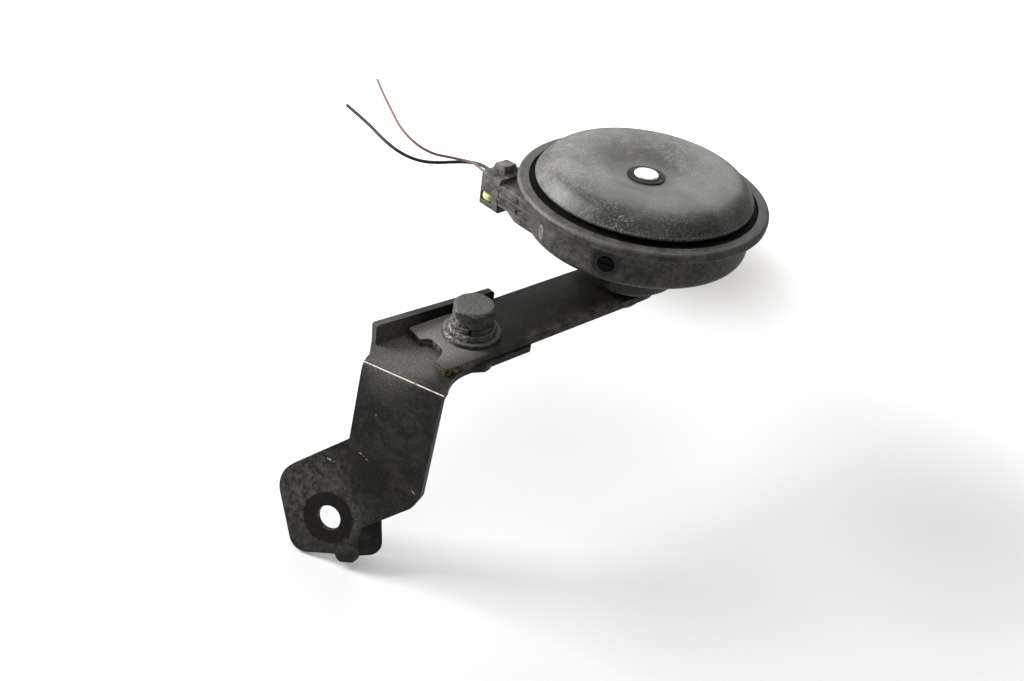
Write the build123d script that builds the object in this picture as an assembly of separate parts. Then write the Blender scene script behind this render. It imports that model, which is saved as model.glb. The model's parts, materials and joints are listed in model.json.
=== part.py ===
"""Electromagnetic disc horn on a flat arm, with its bent mounting bracket and plugged connector.

Everything is laid out on the horn first: Z runs up the horn's axis through the tone disc, z = 0 is
the top of the crimped rim, and the flat arm runs towards -X. At the end the whole part is moved so
that its origin is the middle of the wall of the bracket's mounting hole. Lengths are millimetres.
"""

import os
from math import cos, hypot, pi, radians, sin, tan

from build123d import *

# Shared allowances
cut_overrun = 2.0
face_gap = 0.05
running_gap = 0.3

# Crimped rim, diaphragm and gasket
rim_radius = 45.0
rim_top_width = 4.2
crimp_sheet = 0.8
crimp_under_width = 2.4
crimp_bend = 0.5
crimp_clearance = 0.15
diaphragm_thickness = 0.4
diaphragm_bore_radius = 3.2
gasket_thickness = 0.4
gasket_width = 3.2

# Pressed steel can and its central coil cup
can_sheet = 1.0
can_overhang = 4.4
neck_inset = 0.9
neck_depth = 5.4
can_depth = 17.3
cup_mouth_share = 0.542
cup_share = 0.473
cup_depth = 34.5
can_corner_bend = 2.2
cup_mouth_bend = 1.4
cup_corner_bend = 1.8
neck_bend = 0.5
flange_bend = 0.6
bulge_azimuth = 147.0
bulge_share = 0.542
bulge_stand = 1.5
bulge_round = 6.0
bulge_gap = 0.05

# Domed tone disc
disc_rim_gap = 2.3
disc_sheet = 1.2
disc_edge_height = 2.4
disc_edge_bulge = 0.4
disc_shoulder_share = 0.896
disc_shoulder_height = 6.9
disc_crest_share = 0.727
disc_crest_height = 8.1
disc_slope_share = 0.532
disc_slope_height = 7.45
disc_dish_share = 0.351
disc_dish_height = 5.7
disc_toe_share = 0.265
disc_toe_height = 4.85
disc_seat_margin = 0.2
disc_seat_height = 4.6

# Vibrating centre: rivet, washer, spacer and armature
rivet_shank_radius = 3.0
rivet_head_radius = 4.4
rivet_head_height = 0.7
rivet_head_edge = 0.35
rivet_fit = 0.02
rivet_washer_radius = 6.8
rivet_washer_height = 0.5
spacer_radius = 7.2
armature_plate_share = 0.335
armature_plate_height = 2.4
armature_hub_height = 0.8
armature_plunger_inset = 0.5
armature_tip_depth = 23.0
air_gap = 0.6
stroke = 0.5
push_ring_share = 0.32
push_ring_width = 2.2

# Pole core, coil bobbin and winding
core_share = 0.197
stud_radius = 4.0
stud_hole_radius = 4.1
stud_stand = 1.25
bobbin_bore_gap = 0.5
bobbin_wall = 1.1
bobbin_flange = 1.2
bobbin_flange_gap = 1.5
bobbin_top_depth = 18.6
winding_inset = 0.9

# Contact breaker, stacked on a moulded base beside the coil cup
breaker_azimuth = 210.0
breaker_stack_inset = 9.1
breaker_stack_length = 8.0
breaker_stack_width = 12.0
breaker_arm_depth = 9.0
breaker_arm_sheet = 0.5
breaker_arm_width = 6.0
breaker_arm_overlap = 0.6
contact_place_inset = 10.9
contact_radius = 1.8
contact_height = 0.8
fixed_bracket_sheet = 1.0
fixed_bracket_overlap = 2.4
fixed_bracket_leg = 6.0
breaker_rivet_radius = 1.1
breaker_rivet_head_radius = 1.9
breaker_rivet_head_height = 0.8
breaker_rivet_pitch = 7.0

# Adjusting screw in the can's wall
screw_depth = 10.0
screw_radius = 2.0
screw_head_radius = 2.5
screw_head_height = 1.4
screw_slot_width = 0.8
screw_slot_depth = 0.7
screw_window_radius = 2.9
screw_bush_radius = 4.2
screw_bush_length = 2.2

# Connector socket, laid out along its own mating direction
socket_azimuth = 137.12
socket_stand = 3.48
socket_heading = 94.0
connector_depth = 10.9
socket_half_width = 6.9
socket_rise = 5.6
socket_drop = 5.25
socket_wall = 1.1
socket_cavity_depth = 11.5
socket_root_length = 19.0
socket_corner = 1.0
socket_heel_length = 7.8
socket_mouth_length = 2.9
socket_mouth_drop = 2.6
socket_heel_round = 3.5
socket_mouth_round = 1.5
rib_width = 1.2
rib_height = 0.6
blade_width = 2.8
blade_sheet = 0.8
blade_pitch = 4.0
blade_rise = 1.4
blade_reach = 8.5
blade_root_length = 21.0

# Plug, its yellow lock, contacts and seals
plug_half_width = 7.0
plug_drop = 6.2
plug_rise = 7.3
plug_length = 9.4
plug_start = 2.3
plug_corner = 1.3
plug_tongue_length = 9.5
plug_tongue_gap = 0.15
latch_width = 6.4
latch_height = 3.2
latch_length = 7.5
latch_slot = 0.8
latch_toe = 2.6
lock_length = 5.6
lock_height = 3.6
lock_thickness = 1.6
lock_stand = 0.3
lock_corner = 0.7
lock_lift = 2.6
lock_setback = 0.6
contact_body_width = 2.2
contact_body_height = 4.0
contact_body_length = 8.0
seal_radius = 1.25
seal_length = 3.0
seal_stand = 0.9
wire_rise = 3.0

# The two cut wires
black_wire_radius = 0.65
brown_wire_radius = 0.5
wire_pitch = 2.8
corner_run_share = 0.45

# Flat arm under the horn
arm_half_width = 12.5
arm_sheet = 3.0
arm_seat_depth = 37.75
arm_end_margin = 19.4
arm_far_prong_setback = 2.4
arm_far_prong_width = 7.2
arm_near_prong_width = 5.4
arm_notch_depth = 5.6
arm_notch_round = 3.4
arm_corner = 1.0
stud_spacer_radius = 8.5
stud_washer_radius = 8.0
stud_washer_height = 1.6
stud_nut_flats = 13.0
stud_nut_height = 5.4

# Clamp bolt between arm and bracket
bolt_x = -71.6
bolt_radius = 4.0
bolt_hole_radius = 4.4
bolt_flats = 13.0
bolt_head_height = 6.1
bolt_head_chamfer_share = 0.06
bolt_length = 18.6
flat_washer_radius = 10.2
flat_washer_height = 1.6
collar_washer_radius = 8.7
collar_washer_height = 1.9
spring_washer_radius = 7.3
spring_washer_height = 2.1
spring_washer_gap = 0.9
weld_nut_flats = 14.0
weld_nut_height = 6.5

# Bent mounting bracket: top plate, strip and foot
bracket_sheet = 2.5
bend_inside_radius = 2.0
plate_end_reach = 16.6
plate_near_y = 13.1
ear_start_reach = 1.7
ear_tip_reach = 4.4
ear_end_reach = 8.4
ear_width = 1.2
plate_waist_y = 12.4
flange_gap = 0.4
flange_height = 7.8
flange_left_reach = 29.4
flange_right_reach = 19.6
flange_end_radius = 3.0
flange_right_drop = 2.1
first_bend_reach = 31.2
first_bend_y = -5.35
first_bend_heading = 24.05
first_bend_turn = 82.0
strip_half_width = 14.9
strip_far_spread = 1.3
strip_near_taper = 1.4
strip_length = 37.3
second_bend_skew = 19.0
second_bend_turn = 15.0
flare_reach = 16.9
flare_round = 14.5

# Foot plate, drawn from the mounting hole: each side has a direction and a distance
hole_radius = 4.5
hole_along_bend = 7.3
hole_below_bend = 29.1
foot_side_angle = 152.9
foot_side_distance = 22.4
foot_lower_side_angle = 226.0
foot_lower_side_distance = 16.8
foot_bottom_angle = -50.9
foot_bottom_distance = 12.95
foot_fold_angle = 35.4
foot_fold_distance = 11.4
foot_inner_angle = -28.1
foot_inner_distance = 7.5
foot_shoulder_drop = 5.2
foot_side_round = 10.0
foot_bottom_round = 6.0
foot_shoulder_round = 5.0
seat_radius = 9.4
seat_recess = 0.3
lobe_length = 9.6
lobe_reach = 8.0
lobe_round = 4.6
lobe_lift = 4.0
lobe_turn = 25.0
nub_width = 8.6
nub_reach = 2.8
nub_round = 2.2
nub_leg = 5.0
nub_along = 5.5

# Routes of the wires after their straight start: chosen by hand, counted from the socket's place
wire_start_run = 4.3
black_route = [
    (0.4, 23.0, 2.6),
    (-1.5, 28.3, 1.3),
    (-5.2, 32.3, 0.2),
    (-10.7, 34.8, -0.1),
    (-16.2, 37.5, 0.4),
    (-21.0, 42.8, 1.9),
    (-23.2, 51.5, 3.9),
    (-23.4, 64.0, 6.4),
    (-25.2, 75.5, 8.7),
]
brown_route = [
    (-2.6, 22.9, 3.8),
    (-4.5, 27.6, 3.1),
    (-8.2, 31.0, 3.5),
    (-13.9, 33.0, 4.9),
    (-18.7, 37.6, 7.7),
    (-19.9, 46.6, 10.7),
    (-17.3, 57.5, 13.5),
    (-14.7, 66.8, 15.3),
    (-11.5, 76.0, 16.7),
]

# Radii and places that follow from the sizes above
rim_inner_radius = rim_radius - rim_top_width
can_radius = rim_radius - can_overhang
neck_radius = can_radius - neck_inset
cup_mouth_radius = can_radius * cup_mouth_share
cup_radius = can_radius * cup_share
bulge_radius = can_radius * bulge_share
bulge_reach = can_radius + bulge_stand
disc_radius = rim_inner_radius - disc_rim_gap
disc_seat_radius = spacer_radius + disc_seat_margin
core_radius = can_radius * core_share
armature_plate_radius = can_radius * armature_plate_share
armature_hub_radius = core_radius
armature_plunger_radius = core_radius - armature_plunger_inset
push_ring_radius = can_radius * push_ring_share
push_ring_bore_radius = push_ring_radius - push_ring_width
bobbin_flange_radius = cup_radius - can_sheet - bobbin_flange_gap
winding_radius = bobbin_flange_radius - winding_inset
breaker_stack_radius = can_radius - breaker_stack_inset
breaker_arm_tip_radius = push_ring_bore_radius - breaker_arm_overlap
contact_place_radius = breaker_stack_radius - contact_place_inset
fixed_bracket_tip_radius = contact_place_radius - fixed_bracket_overlap
socket_x = (can_radius + socket_stand) * cos(radians(socket_azimuth))
socket_y = (can_radius + socket_stand) * sin(radians(socket_azimuth))
arm_end_x = bolt_x - arm_end_margin
plate_end_x = bolt_x + plate_end_reach
ear_start_x = bolt_x - ear_start_reach
ear_tip_x = bolt_x - ear_tip_reach
ear_end_x = bolt_x - ear_end_reach
flange_left_x = bolt_x - flange_left_reach
flange_right_x = bolt_x + flange_right_reach
first_bend_x = bolt_x - first_bend_reach
flare_x = bolt_x - flare_reach

# Levels that follow from the sizes above
diaphragm_top = -crimp_sheet
diaphragm_bottom = diaphragm_top - diaphragm_thickness
gasket_bottom = diaphragm_bottom - gasket_thickness
can_flange_bottom = gasket_bottom - can_sheet
crimp_bottom = can_flange_bottom - crimp_sheet
can_floor = -can_depth + can_sheet
cup_floor = -cup_depth + can_sheet
armature_bottom = diaphragm_bottom - armature_hub_height - armature_plate_height
bobbin_bore_radius = core_radius + bobbin_bore_gap
arm_top = -arm_seat_depth
plate_top = arm_top - arm_sheet
breaker_arm_top = -breaker_arm_depth
stud_nut_bottom = plate_top - stud_washer_height - stud_nut_height
stud_tip = stud_nut_bottom - stud_stand
stack_inner_radius = breaker_stack_radius - breaker_stack_length / 2
fixed_contact_top = breaker_arm_top + 2 * contact_height


# Small makers

def drum(radius, bottom, top):
    """Plain cylinder on the horn's axis between two heights."""
    return Pos(0, 0, bottom) * Cylinder(radius, top - bottom, align=(Align.CENTER, Align.CENTER, Align.MIN))


def washer(outer, inner, bottom, top):
    """Flat ring on the horn's axis between two heights."""
    return drum(outer, bottom, top) - drum(inner, bottom - cut_overrun, top + cut_overrun)


def block(low, high):
    """Box between two opposite corners."""
    size = [b - a for a, b in zip(low, high)]
    return Pos(*low) * Box(*size, align=(Align.MIN, Align.MIN, Align.MIN))


def outline(points, radii):
    """Face in the XY plane that looks up, with one corner radius for each point."""
    face = Face(FilletPolyline(*points, radius=radii, close=True).wire())
    return face if face.normal_at().Z > 0 else -face


def spun(face):
    """Turn a section drawn as (radius, height) in the XY plane around the horn's axis."""
    return revolve(Rot(90, 0, 0) * face, Axis.Z)


def hexagon_prism(flats, bottom, top):
    """Hexagonal bar on the horn's axis, its flats this far apart."""
    corner_radius = flats / 2 / cos(pi / 6)
    return Pos(0, 0, bottom) * extrude(RegularPolygon(corner_radius, 6), top - bottom)


def offset_path(points, distance):
    """The same open path, shifted to its left by a distance."""
    shifted = []
    for place, point in enumerate(points):
        before = points[max(place - 1, 0)]
        after = points[min(place + 1, len(points) - 1)]
        sides = []
        for start, end in ((before, point), (point, after)):
            run = hypot(end[0] - start[0], end[1] - start[1])
            if run > 0:
                sides.append(((start[1] - end[1]) / run, (end[0] - start[0]) / run))
        first, last = sides[0], sides[-1]
        scale = distance / (1 + first[0] * last[0] + first[1] * last[1])
        shifted.append((point[0] + (first[0] + last[0]) * scale, point[1] + (first[1] + last[1]) * scale))
    return shifted


def sheet_section(points, inside_radii, sheet):
    """Section of bent sheet: a skin of straight runs, thickened to its left, with inside bend radii."""
    skin_radii = []
    back_radii = []
    for place, radius in enumerate(inside_radii):
        (x0, y0), (x1, y1), (x2, y2) = points[place:place + 3]
        turns_left = (x1 - x0) * (y2 - y1) - (y1 - y0) * (x2 - x1) > 0
        skin_radii.append(radius + sheet if turns_left else radius)
        back_radii.append(radius if turns_left else radius + sheet)
    back = offset_path(points, sheet)
    loop = points + back[::-1]
    radii = [0] + skin_radii + [0, 0] + back_radii[::-1] + [0]
    return outline(loop, radii)


def at_azimuth(shape, azimuth):
    """Turn a shape that was drawn along +X to a direction around the horn."""
    return Rot(0, 0, azimuth) * shape


def in_connector(shape):
    """Place a shape drawn with +Y along the mating direction at the horn's socket."""
    return Pos(socket_x, socket_y, -connector_depth) * Rot(0, 0, socket_heading - 90) * shape


# Horn body

def make_rim_ring():
    """Steel ring folded over the can's flange."""
    under_radius = rim_radius - crimp_sheet - crimp_under_width
    path = [
        (rim_inner_radius, 0),
        (rim_radius, 0),
        (rim_radius, crimp_bottom),
        (under_radius, crimp_bottom),
    ]
    return spun(sheet_section(path[::-1], [crimp_bend, crimp_bend], crimp_sheet))


def rim_seat_radius():
    """Largest radius of what the rim ring holds."""
    return rim_radius - crimp_sheet - crimp_clearance - crimp_bend


def make_gasket_ring():
    outer = rim_seat_radius()
    return washer(outer, outer - gasket_width, gasket_bottom, diaphragm_bottom)


def make_diaphragm():
    return washer(rim_seat_radius(), diaphragm_bore_radius, diaphragm_bottom, diaphragm_top)


def make_bulge():
    """Pad with a soft lower edge on the can's wall, cut back to the middle of the sheet."""
    top = crimp_bottom - bulge_gap
    tub = drum(bulge_radius, -can_depth, top)
    tub = fillet(tub.edges().group_by(Axis.Z)[0], bulge_round)
    tub = at_azimuth(Pos(bulge_reach - bulge_radius, 0, 0) * tub, bulge_azimuth)
    half = can_sheet / 2
    middle = [
        (0, top + cut_overrun),
        (neck_radius - half, top + cut_overrun),
        (neck_radius - half, -neck_depth + neck_bend + half),
        (can_radius - half, -neck_depth - half),
        (can_radius - half, -can_depth - cut_overrun),
        (0, -can_depth - cut_overrun),
    ]
    return tub - spun(outline(middle, [0] * len(middle)))


def make_housing_can():
    """Can, its neck and flange and the coil cup are one pressing, thickened beside the socket."""
    path = [
        (stud_hole_radius, -cup_depth),
        (cup_radius, -cup_depth),
        (cup_mouth_radius, -can_depth),
        (can_radius, -can_depth),
        (can_radius, -neck_depth),
        (neck_radius, -neck_depth + neck_bend + can_sheet),
        (neck_radius, can_flange_bottom),
        (rim_seat_radius(), can_flange_bottom),
    ]
    bends = [cup_corner_bend, cup_mouth_bend, can_corner_bend, neck_bend, neck_bend, flange_bend]
    can = spun(sheet_section(path, bends, can_sheet))
    can += make_bulge()
    window = Cylinder(screw_window_radius, 2 * screw_bush_length)
    window = Pos(can_radius, 0, -screw_depth) * Rot(0, 90, 0) * window
    can -= at_azimuth(window, breaker_azimuth)
    half_width = socket_half_width + face_gap
    low = -socket_drop - face_gap
    high = socket_rise + face_gap
    slot = block((-half_width, -socket_root_length, low), (half_width, plug_start, high))
    return can - in_connector(slot)


def make_tone_disc():
    """Domed disc with a dished centre, a rolled edge and a flat seat for the rivet."""
    outer = [
        (disc_radius, disc_edge_height),
        (disc_radius * disc_shoulder_share, disc_shoulder_height),
        (disc_radius * disc_crest_share, disc_crest_height),
        (disc_radius * disc_slope_share, disc_slope_height),
        (disc_radius * disc_dish_share, disc_dish_height),
        (disc_radius * disc_toe_share, disc_toe_height),
        (disc_seat_radius, disc_seat_height),
    ]
    inner = [(x, y - disc_sheet) for x, y in outer]
    top = Spline(*outer)
    bottom = Spline(*inner)
    bore = rivet_shank_radius + rivet_fit
    seat = Polyline(outer[-1], (bore, disc_seat_height), (bore, disc_seat_height - disc_sheet), inner[-1])
    bulge = (disc_radius + disc_edge_bulge, disc_edge_height - disc_sheet / 2)
    edge = ThreePointArc(outer[0], bulge, inner[0])
    return spun(Face(Wire([*top.edges(), *seat.edges(), *bottom.edges(), *edge.edges()])))


# Vibrating centre

def make_centre_rivet():
    head_bottom = disc_seat_height + rivet_washer_height
    head = drum(rivet_head_radius, head_bottom, head_bottom + rivet_head_height)
    head = chamfer(head.edges().group_by(Axis.Z)[-1], rivet_head_edge)
    return head + drum(rivet_shank_radius, armature_bottom, head_bottom)


def make_rivet_washer():
    ring = washer(
        rivet_washer_radius,
        rivet_shank_radius + rivet_fit,
        disc_seat_height,
        disc_seat_height + rivet_washer_height,
    )
    return ring


def make_disc_spacer():
    bottom = disc_seat_height - disc_sheet
    return washer(spacer_radius, rivet_shank_radius + rivet_fit, diaphragm_top, bottom)


def make_armature():
    hub_bottom = diaphragm_bottom - armature_hub_height
    slug = drum(armature_hub_radius, hub_bottom, diaphragm_bottom)
    slug += drum(armature_plate_radius, armature_bottom, hub_bottom)
    slug += drum(armature_plunger_radius, -armature_tip_depth, armature_bottom)
    return slug - drum(rivet_shank_radius + rivet_fit, armature_bottom, diaphragm_bottom)


def make_push_ring():
    """Fibre ring that carries the armature's stroke to the breaker arm."""
    return washer(push_ring_radius, push_ring_bore_radius, breaker_arm_top, armature_bottom)


# Coil

def make_core_stud():
    """Pole core with the threaded stud that holds the arm."""
    core = drum(core_radius, cup_floor, -armature_tip_depth - air_gap)
    return core + drum(stud_radius, stud_tip, cup_floor)


def make_coil_bobbin():
    tube = bobbin_bore_radius + bobbin_wall
    spool = drum(tube, cup_floor, -bobbin_top_depth)
    spool += drum(bobbin_flange_radius, cup_floor, cup_floor + bobbin_flange)
    spool += drum(bobbin_flange_radius, -bobbin_top_depth - bobbin_flange, -bobbin_top_depth)
    return spool - drum(bobbin_bore_radius, cup_floor - cut_overrun, -bobbin_top_depth + cut_overrun)


def make_coil_winding():
    bottom = cup_floor + bobbin_flange
    top = -bobbin_top_depth - bobbin_flange
    return washer(winding_radius, bobbin_bore_radius + bobbin_wall, bottom, top)


# Contact breaker, drawn along +X and turned to its azimuth

def stack_block(bottom, top):
    half = breaker_stack_width / 2
    outer = breaker_stack_radius + breaker_stack_length / 2
    plate = block((stack_inner_radius, -half, bottom), (outer, half, top))
    for side in (-1, 1):
        hole = drum(breaker_rivet_radius, bottom - cut_overrun, top + cut_overrun)
        plate -= Pos(breaker_stack_radius, side * breaker_rivet_pitch / 2, 0) * hole
    return plate


def make_breaker_base():
    return at_azimuth(stack_block(can_floor, breaker_arm_top - breaker_arm_sheet), breaker_azimuth)


def make_arm_clamp_strip():
    return at_azimuth(stack_block(breaker_arm_top - breaker_arm_sheet, breaker_arm_top), breaker_azimuth)


def make_breaker_insulator():
    return at_azimuth(stack_block(breaker_arm_top, fixed_contact_top), breaker_azimuth)


def make_breaker_arm():
    """Leaf that flexes at the edge of its clamp; the round tip lies under the push ring."""
    half = breaker_arm_width / 2
    hinge_x = stack_inner_radius - face_gap
    bottom = breaker_arm_top - breaker_arm_sheet
    tip_x = breaker_arm_tip_radius + half
    leaf = block((tip_x, -half, bottom), (hinge_x, half, breaker_arm_top))
    leaf += Pos(tip_x, 0, 0) * drum(half, bottom, breaker_arm_top)
    return at_azimuth(leaf, breaker_azimuth)


def make_moving_contact():
    stud = drum(contact_radius, breaker_arm_top, breaker_arm_top + contact_height)
    return at_azimuth(Pos(contact_place_radius, 0, 0) * stud, breaker_azimuth)


def make_fixed_contact():
    stud = drum(contact_radius, breaker_arm_top + contact_height, fixed_contact_top)
    return at_azimuth(Pos(contact_place_radius, 0, 0) * stud, breaker_azimuth)


def fixed_bracket_outer():
    return breaker_stack_radius + breaker_stack_length / 2 + running_gap + fixed_bracket_sheet


def make_fixed_contact_bracket():
    """Stiff strip over the stack, with a leg that the adjusting screw bears on."""
    half = breaker_stack_width / 2
    top = fixed_contact_top + fixed_bracket_sheet
    outer = fixed_bracket_outer()
    strip = block((fixed_bracket_tip_radius, -half / 2, fixed_contact_top), (outer, half / 2, top))
    strip += stack_block(fixed_contact_top, top)
    leg_bottom = fixed_contact_top - fixed_bracket_leg
    strip += block((outer - fixed_bracket_sheet, -half / 2, leg_bottom), (outer, half / 2, top))
    for side in (-1, 1):
        hole = drum(breaker_rivet_radius, fixed_contact_top - cut_overrun, top + cut_overrun)
        strip -= Pos(breaker_stack_radius, side * breaker_rivet_pitch / 2, 0) * hole
    return at_azimuth(strip, breaker_azimuth)


def make_breaker_rivets():
    bottom = can_floor
    head_bottom = fixed_contact_top + fixed_bracket_sheet
    rivets = []
    for side in (-1, 1):
        rivet = drum(breaker_rivet_radius, bottom, head_bottom)
        rivet += drum(breaker_rivet_head_radius, head_bottom, head_bottom + breaker_rivet_head_height)
        place = Pos(breaker_stack_radius, side * breaker_rivet_pitch / 2, 0)
        rivets.append(at_azimuth(place * rivet, breaker_azimuth))
    return Compound(rivets)


def screw_bush_outer():
    """Radius at which the bush meets the wall's inner face."""
    inner = can_radius - can_sheet
    return (inner ** 2 - screw_bush_radius ** 2) ** 0.5


def make_screw_bush():
    bar = Cylinder(screw_bush_radius, screw_bush_length, align=(Align.CENTER, Align.CENTER, Align.MIN))
    bar -= Cylinder(screw_radius + face_gap, 4 * screw_bush_length)
    start = screw_bush_outer() - screw_bush_length
    return at_azimuth(Pos(start, 0, -screw_depth) * Rot(0, 90, 0) * bar, breaker_azimuth)


def make_adjusting_screw():
    """Slotted screw whose head lies in the wall's window."""
    tip = fixed_bracket_outer()
    seat = screw_bush_outer()
    align = (Align.CENTER, Align.CENTER, Align.MIN)
    screw = Cylinder(screw_radius, seat - tip, align=align)
    screw += Pos(0, 0, seat - tip) * Cylinder(screw_head_radius, screw_head_height, align=align)
    slot_bottom = seat - tip + screw_head_height - screw_slot_depth
    slot_half = screw_slot_width / 2
    reach = screw_head_radius + cut_overrun
    screw -= block((-slot_half, -reach, slot_bottom), (slot_half, reach, slot_bottom + cut_overrun))
    return at_azimuth(Pos(tip, 0, -screw_depth) * Rot(0, 90, 0) * screw, breaker_azimuth)


# Connector, drawn with +Y along its mating direction

def soft_bar(half_width, bottom, top, start, end, corner):
    """Rounded rectangular bar along Y."""
    points = [(-half_width, bottom), (half_width, bottom), (half_width, top), (-half_width, top)]
    face = outline(points, [corner] * len(points))
    return Pos(0, end, 0) * extrude(Rot(90, 0, 0) * face, end - start)


def side_ribs(half_width, start, end):
    """Two lengthwise ribs on the side that faces the arm."""
    ribs = []
    for level in (socket_rise - 2 * rib_width, -rib_width / 2):
        low = (-half_width - rib_height, start, level)
        ribs.append(block(low, (-half_width + rib_height, end, level + rib_width)))
    return ribs


def socket_profile():
    """Side view of the socket: deep at the can, with a rounded heel below its mouth."""
    points = [
        (-socket_root_length, -socket_drop),
        (-socket_heel_length, -socket_drop),
        (-socket_mouth_length, -socket_mouth_drop),
        (plug_start, -socket_mouth_drop),
        (plug_start, socket_rise),
        (-socket_root_length, socket_rise),
    ]
    face = outline(points, [0, socket_heel_round, socket_mouth_round, 0, 0, 0])
    return Rot(0, 0, 90) * Rot(90, 0, 0) * extrude(face, can_radius, both=True)


def make_connector_socket():
    """Moulded socket fixed in the can's wall."""
    half_w = socket_half_width
    body = soft_bar(half_w, -socket_drop, socket_rise, -socket_root_length, plug_start, socket_corner)
    body = body & socket_profile()
    for rib in side_ribs(half_w, -socket_root_length + socket_cavity_depth, plug_start):
        body += rib
    inner_w = half_w - socket_wall
    low = -socket_mouth_drop + socket_wall
    cavity_end = plug_start - socket_cavity_depth
    high = socket_rise - socket_wall
    cavity = soft_bar(inner_w, low, high, cavity_end, plug_start + cut_overrun, socket_corner / 2)
    body -= cavity
    for side in (-1, 1):
        start = -socket_root_length - cut_overrun
        body -= blade_block(side, start, cavity_end + cut_overrun, face_gap)
    return in_connector(body)


def blade_block(side, start, end, clearance):
    """Flat bar where one of the two blades lies."""
    x = side * blade_pitch / 2
    half = blade_sheet / 2 + clearance
    low = blade_rise - blade_width / 2 - clearance
    high = blade_rise + blade_width / 2 + clearance
    return block((x - half, start, low), (x + half, end, high))


def blade_end():
    return plug_start - socket_cavity_depth + blade_reach


def make_terminal_blades():
    start = plug_start - blade_root_length
    return Compound([in_connector(blade_block(side, start, blade_end(), 0)) for side in (-1, 1)])


def plug_tongue_start():
    return plug_start - plug_tongue_length


def contact_seat(side, clearance):
    """Box that one contact of the plug takes up."""
    x = side * blade_pitch / 2
    half_w = contact_body_width / 2 + clearance
    half_h = contact_body_height / 2 + clearance
    start = plug_tongue_start() - clearance
    end = start + contact_body_length + 2 * clearance
    return block((x - half_w, start, blade_rise - half_h), (x + half_w, end, blade_rise + half_h))


def make_plug_housing():
    """Plug with its latch, ribs and the tongue that goes into the socket."""
    end = plug_start + plug_length
    half_w = plug_half_width
    body = soft_bar(half_w, -plug_drop, plug_rise, plug_start, end, plug_corner)
    inset = socket_wall + plug_tongue_gap
    tongue_w = socket_half_width - inset
    tongue_low = -socket_mouth_drop + inset
    tongue_top = socket_rise - inset
    body += soft_bar(tongue_w, tongue_low, tongue_top, plug_tongue_start(), plug_start, socket_corner / 2)
    for rib in side_ribs(half_w, plug_start, end - plug_corner):
        body += rib
    arm = block(
        (-latch_width / 2, end - latch_length, plug_rise + latch_slot),
        (latch_width / 2, end - plug_corner, plug_rise + latch_height),
    )
    toe = block(
        (-latch_width / 2, end - latch_length, plug_rise - latch_slot),
        (latch_width / 2, end - latch_length + latch_toe, plug_rise + latch_slot),
    )
    body += arm + toe
    for side in (-1, 1):
        body -= contact_seat(side, face_gap)
        bore = Rot(90, 0, 0) * Cylinder(seal_radius + face_gap, 2 * seal_length)
        body -= Pos(side * wire_pitch / 2, end, wire_rise) * bore
    lock_end = lock_start() + lock_length
    lock_top = lock_bottom() + lock_height
    lock = block(
        (-half_w - cut_overrun, lock_start() - face_gap, lock_bottom() - face_gap),
        (-half_w + lock_thickness, lock_end + face_gap, lock_top + face_gap),
    )
    return in_connector(body - lock)


def lock_start():
    return plug_start + plug_length - lock_setback - lock_length


def lock_bottom():
    return -plug_drop + lock_lift


def make_plug_lock():
    """Yellow secondary lock pushed in from the side."""
    side = -plug_half_width
    low = (side - lock_stand, lock_start(), lock_bottom())
    high = (side + lock_thickness - face_gap, lock_start() + lock_length, lock_bottom() + lock_height)
    slab = block(low, high)
    return in_connector(fillet(slab.edges().filter_by(Axis.X), lock_corner))


def make_plug_contacts():
    """Spring contacts in the plug; each is slit for its blade."""
    contacts = []
    start = plug_tongue_start() - cut_overrun
    for side in (-1, 1):
        body = contact_seat(side, 0)
        body -= blade_block(side, start, blade_end() + face_gap, face_gap)
        contacts.append(in_connector(body))
    return Compound(contacts)


def make_wire_seals():
    seals = []
    end = plug_start + plug_length + seal_stand
    for side, wire_radius in ((1, black_wire_radius), (-1, brown_wire_radius)):
        seal = Cylinder(seal_radius, seal_length, align=(Align.CENTER, Align.CENTER, Align.MIN))
        place = Pos(side * wire_pitch / 2, end, wire_rise) * Rot(90, 0, 0)
        seals.append(in_connector(place * seal))
    return Compound(seals)


def make_wire(side, route, radius, name):
    """Round tube from its seal, along straight runs joined by tangent arcs."""
    seal_end = plug_start + plug_length + seal_stand
    start = [(side * wire_pitch / 2, seal_end + run, wire_rise) for run in (0, wire_start_run)]
    points = [in_connector(Pos(*place)).position for place in start]
    points += [Vector(socket_x, socket_y, -connector_depth) + Vector(*place) for place in route]
    print(name, "starts", [tuple(round(value, 2) for value in place) for place in points[:2]])
    runs = [b - a for a, b in zip(points, points[1:])]
    radii = []
    for before, after in zip(runs, runs[1:]):
        half_turn = radians(before.get_angle(after)) / 2
        radii.append(corner_run_share * min(before.length, after.length) / tan(half_turn))
    line = FilletPolyline(*points, radius=radii)
    print(name, "bend radii", [round(value, 1) for value in radii], "length", round(line.length, 1))
    face = Plane(origin=points[0], z_dir=runs[0]) * Circle(radius)
    return sweep(face, path=line)


# Arm and its fasteners

def make_stud_spacer():
    return washer(stud_spacer_radius, stud_hole_radius, arm_top, -cup_depth)


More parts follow.
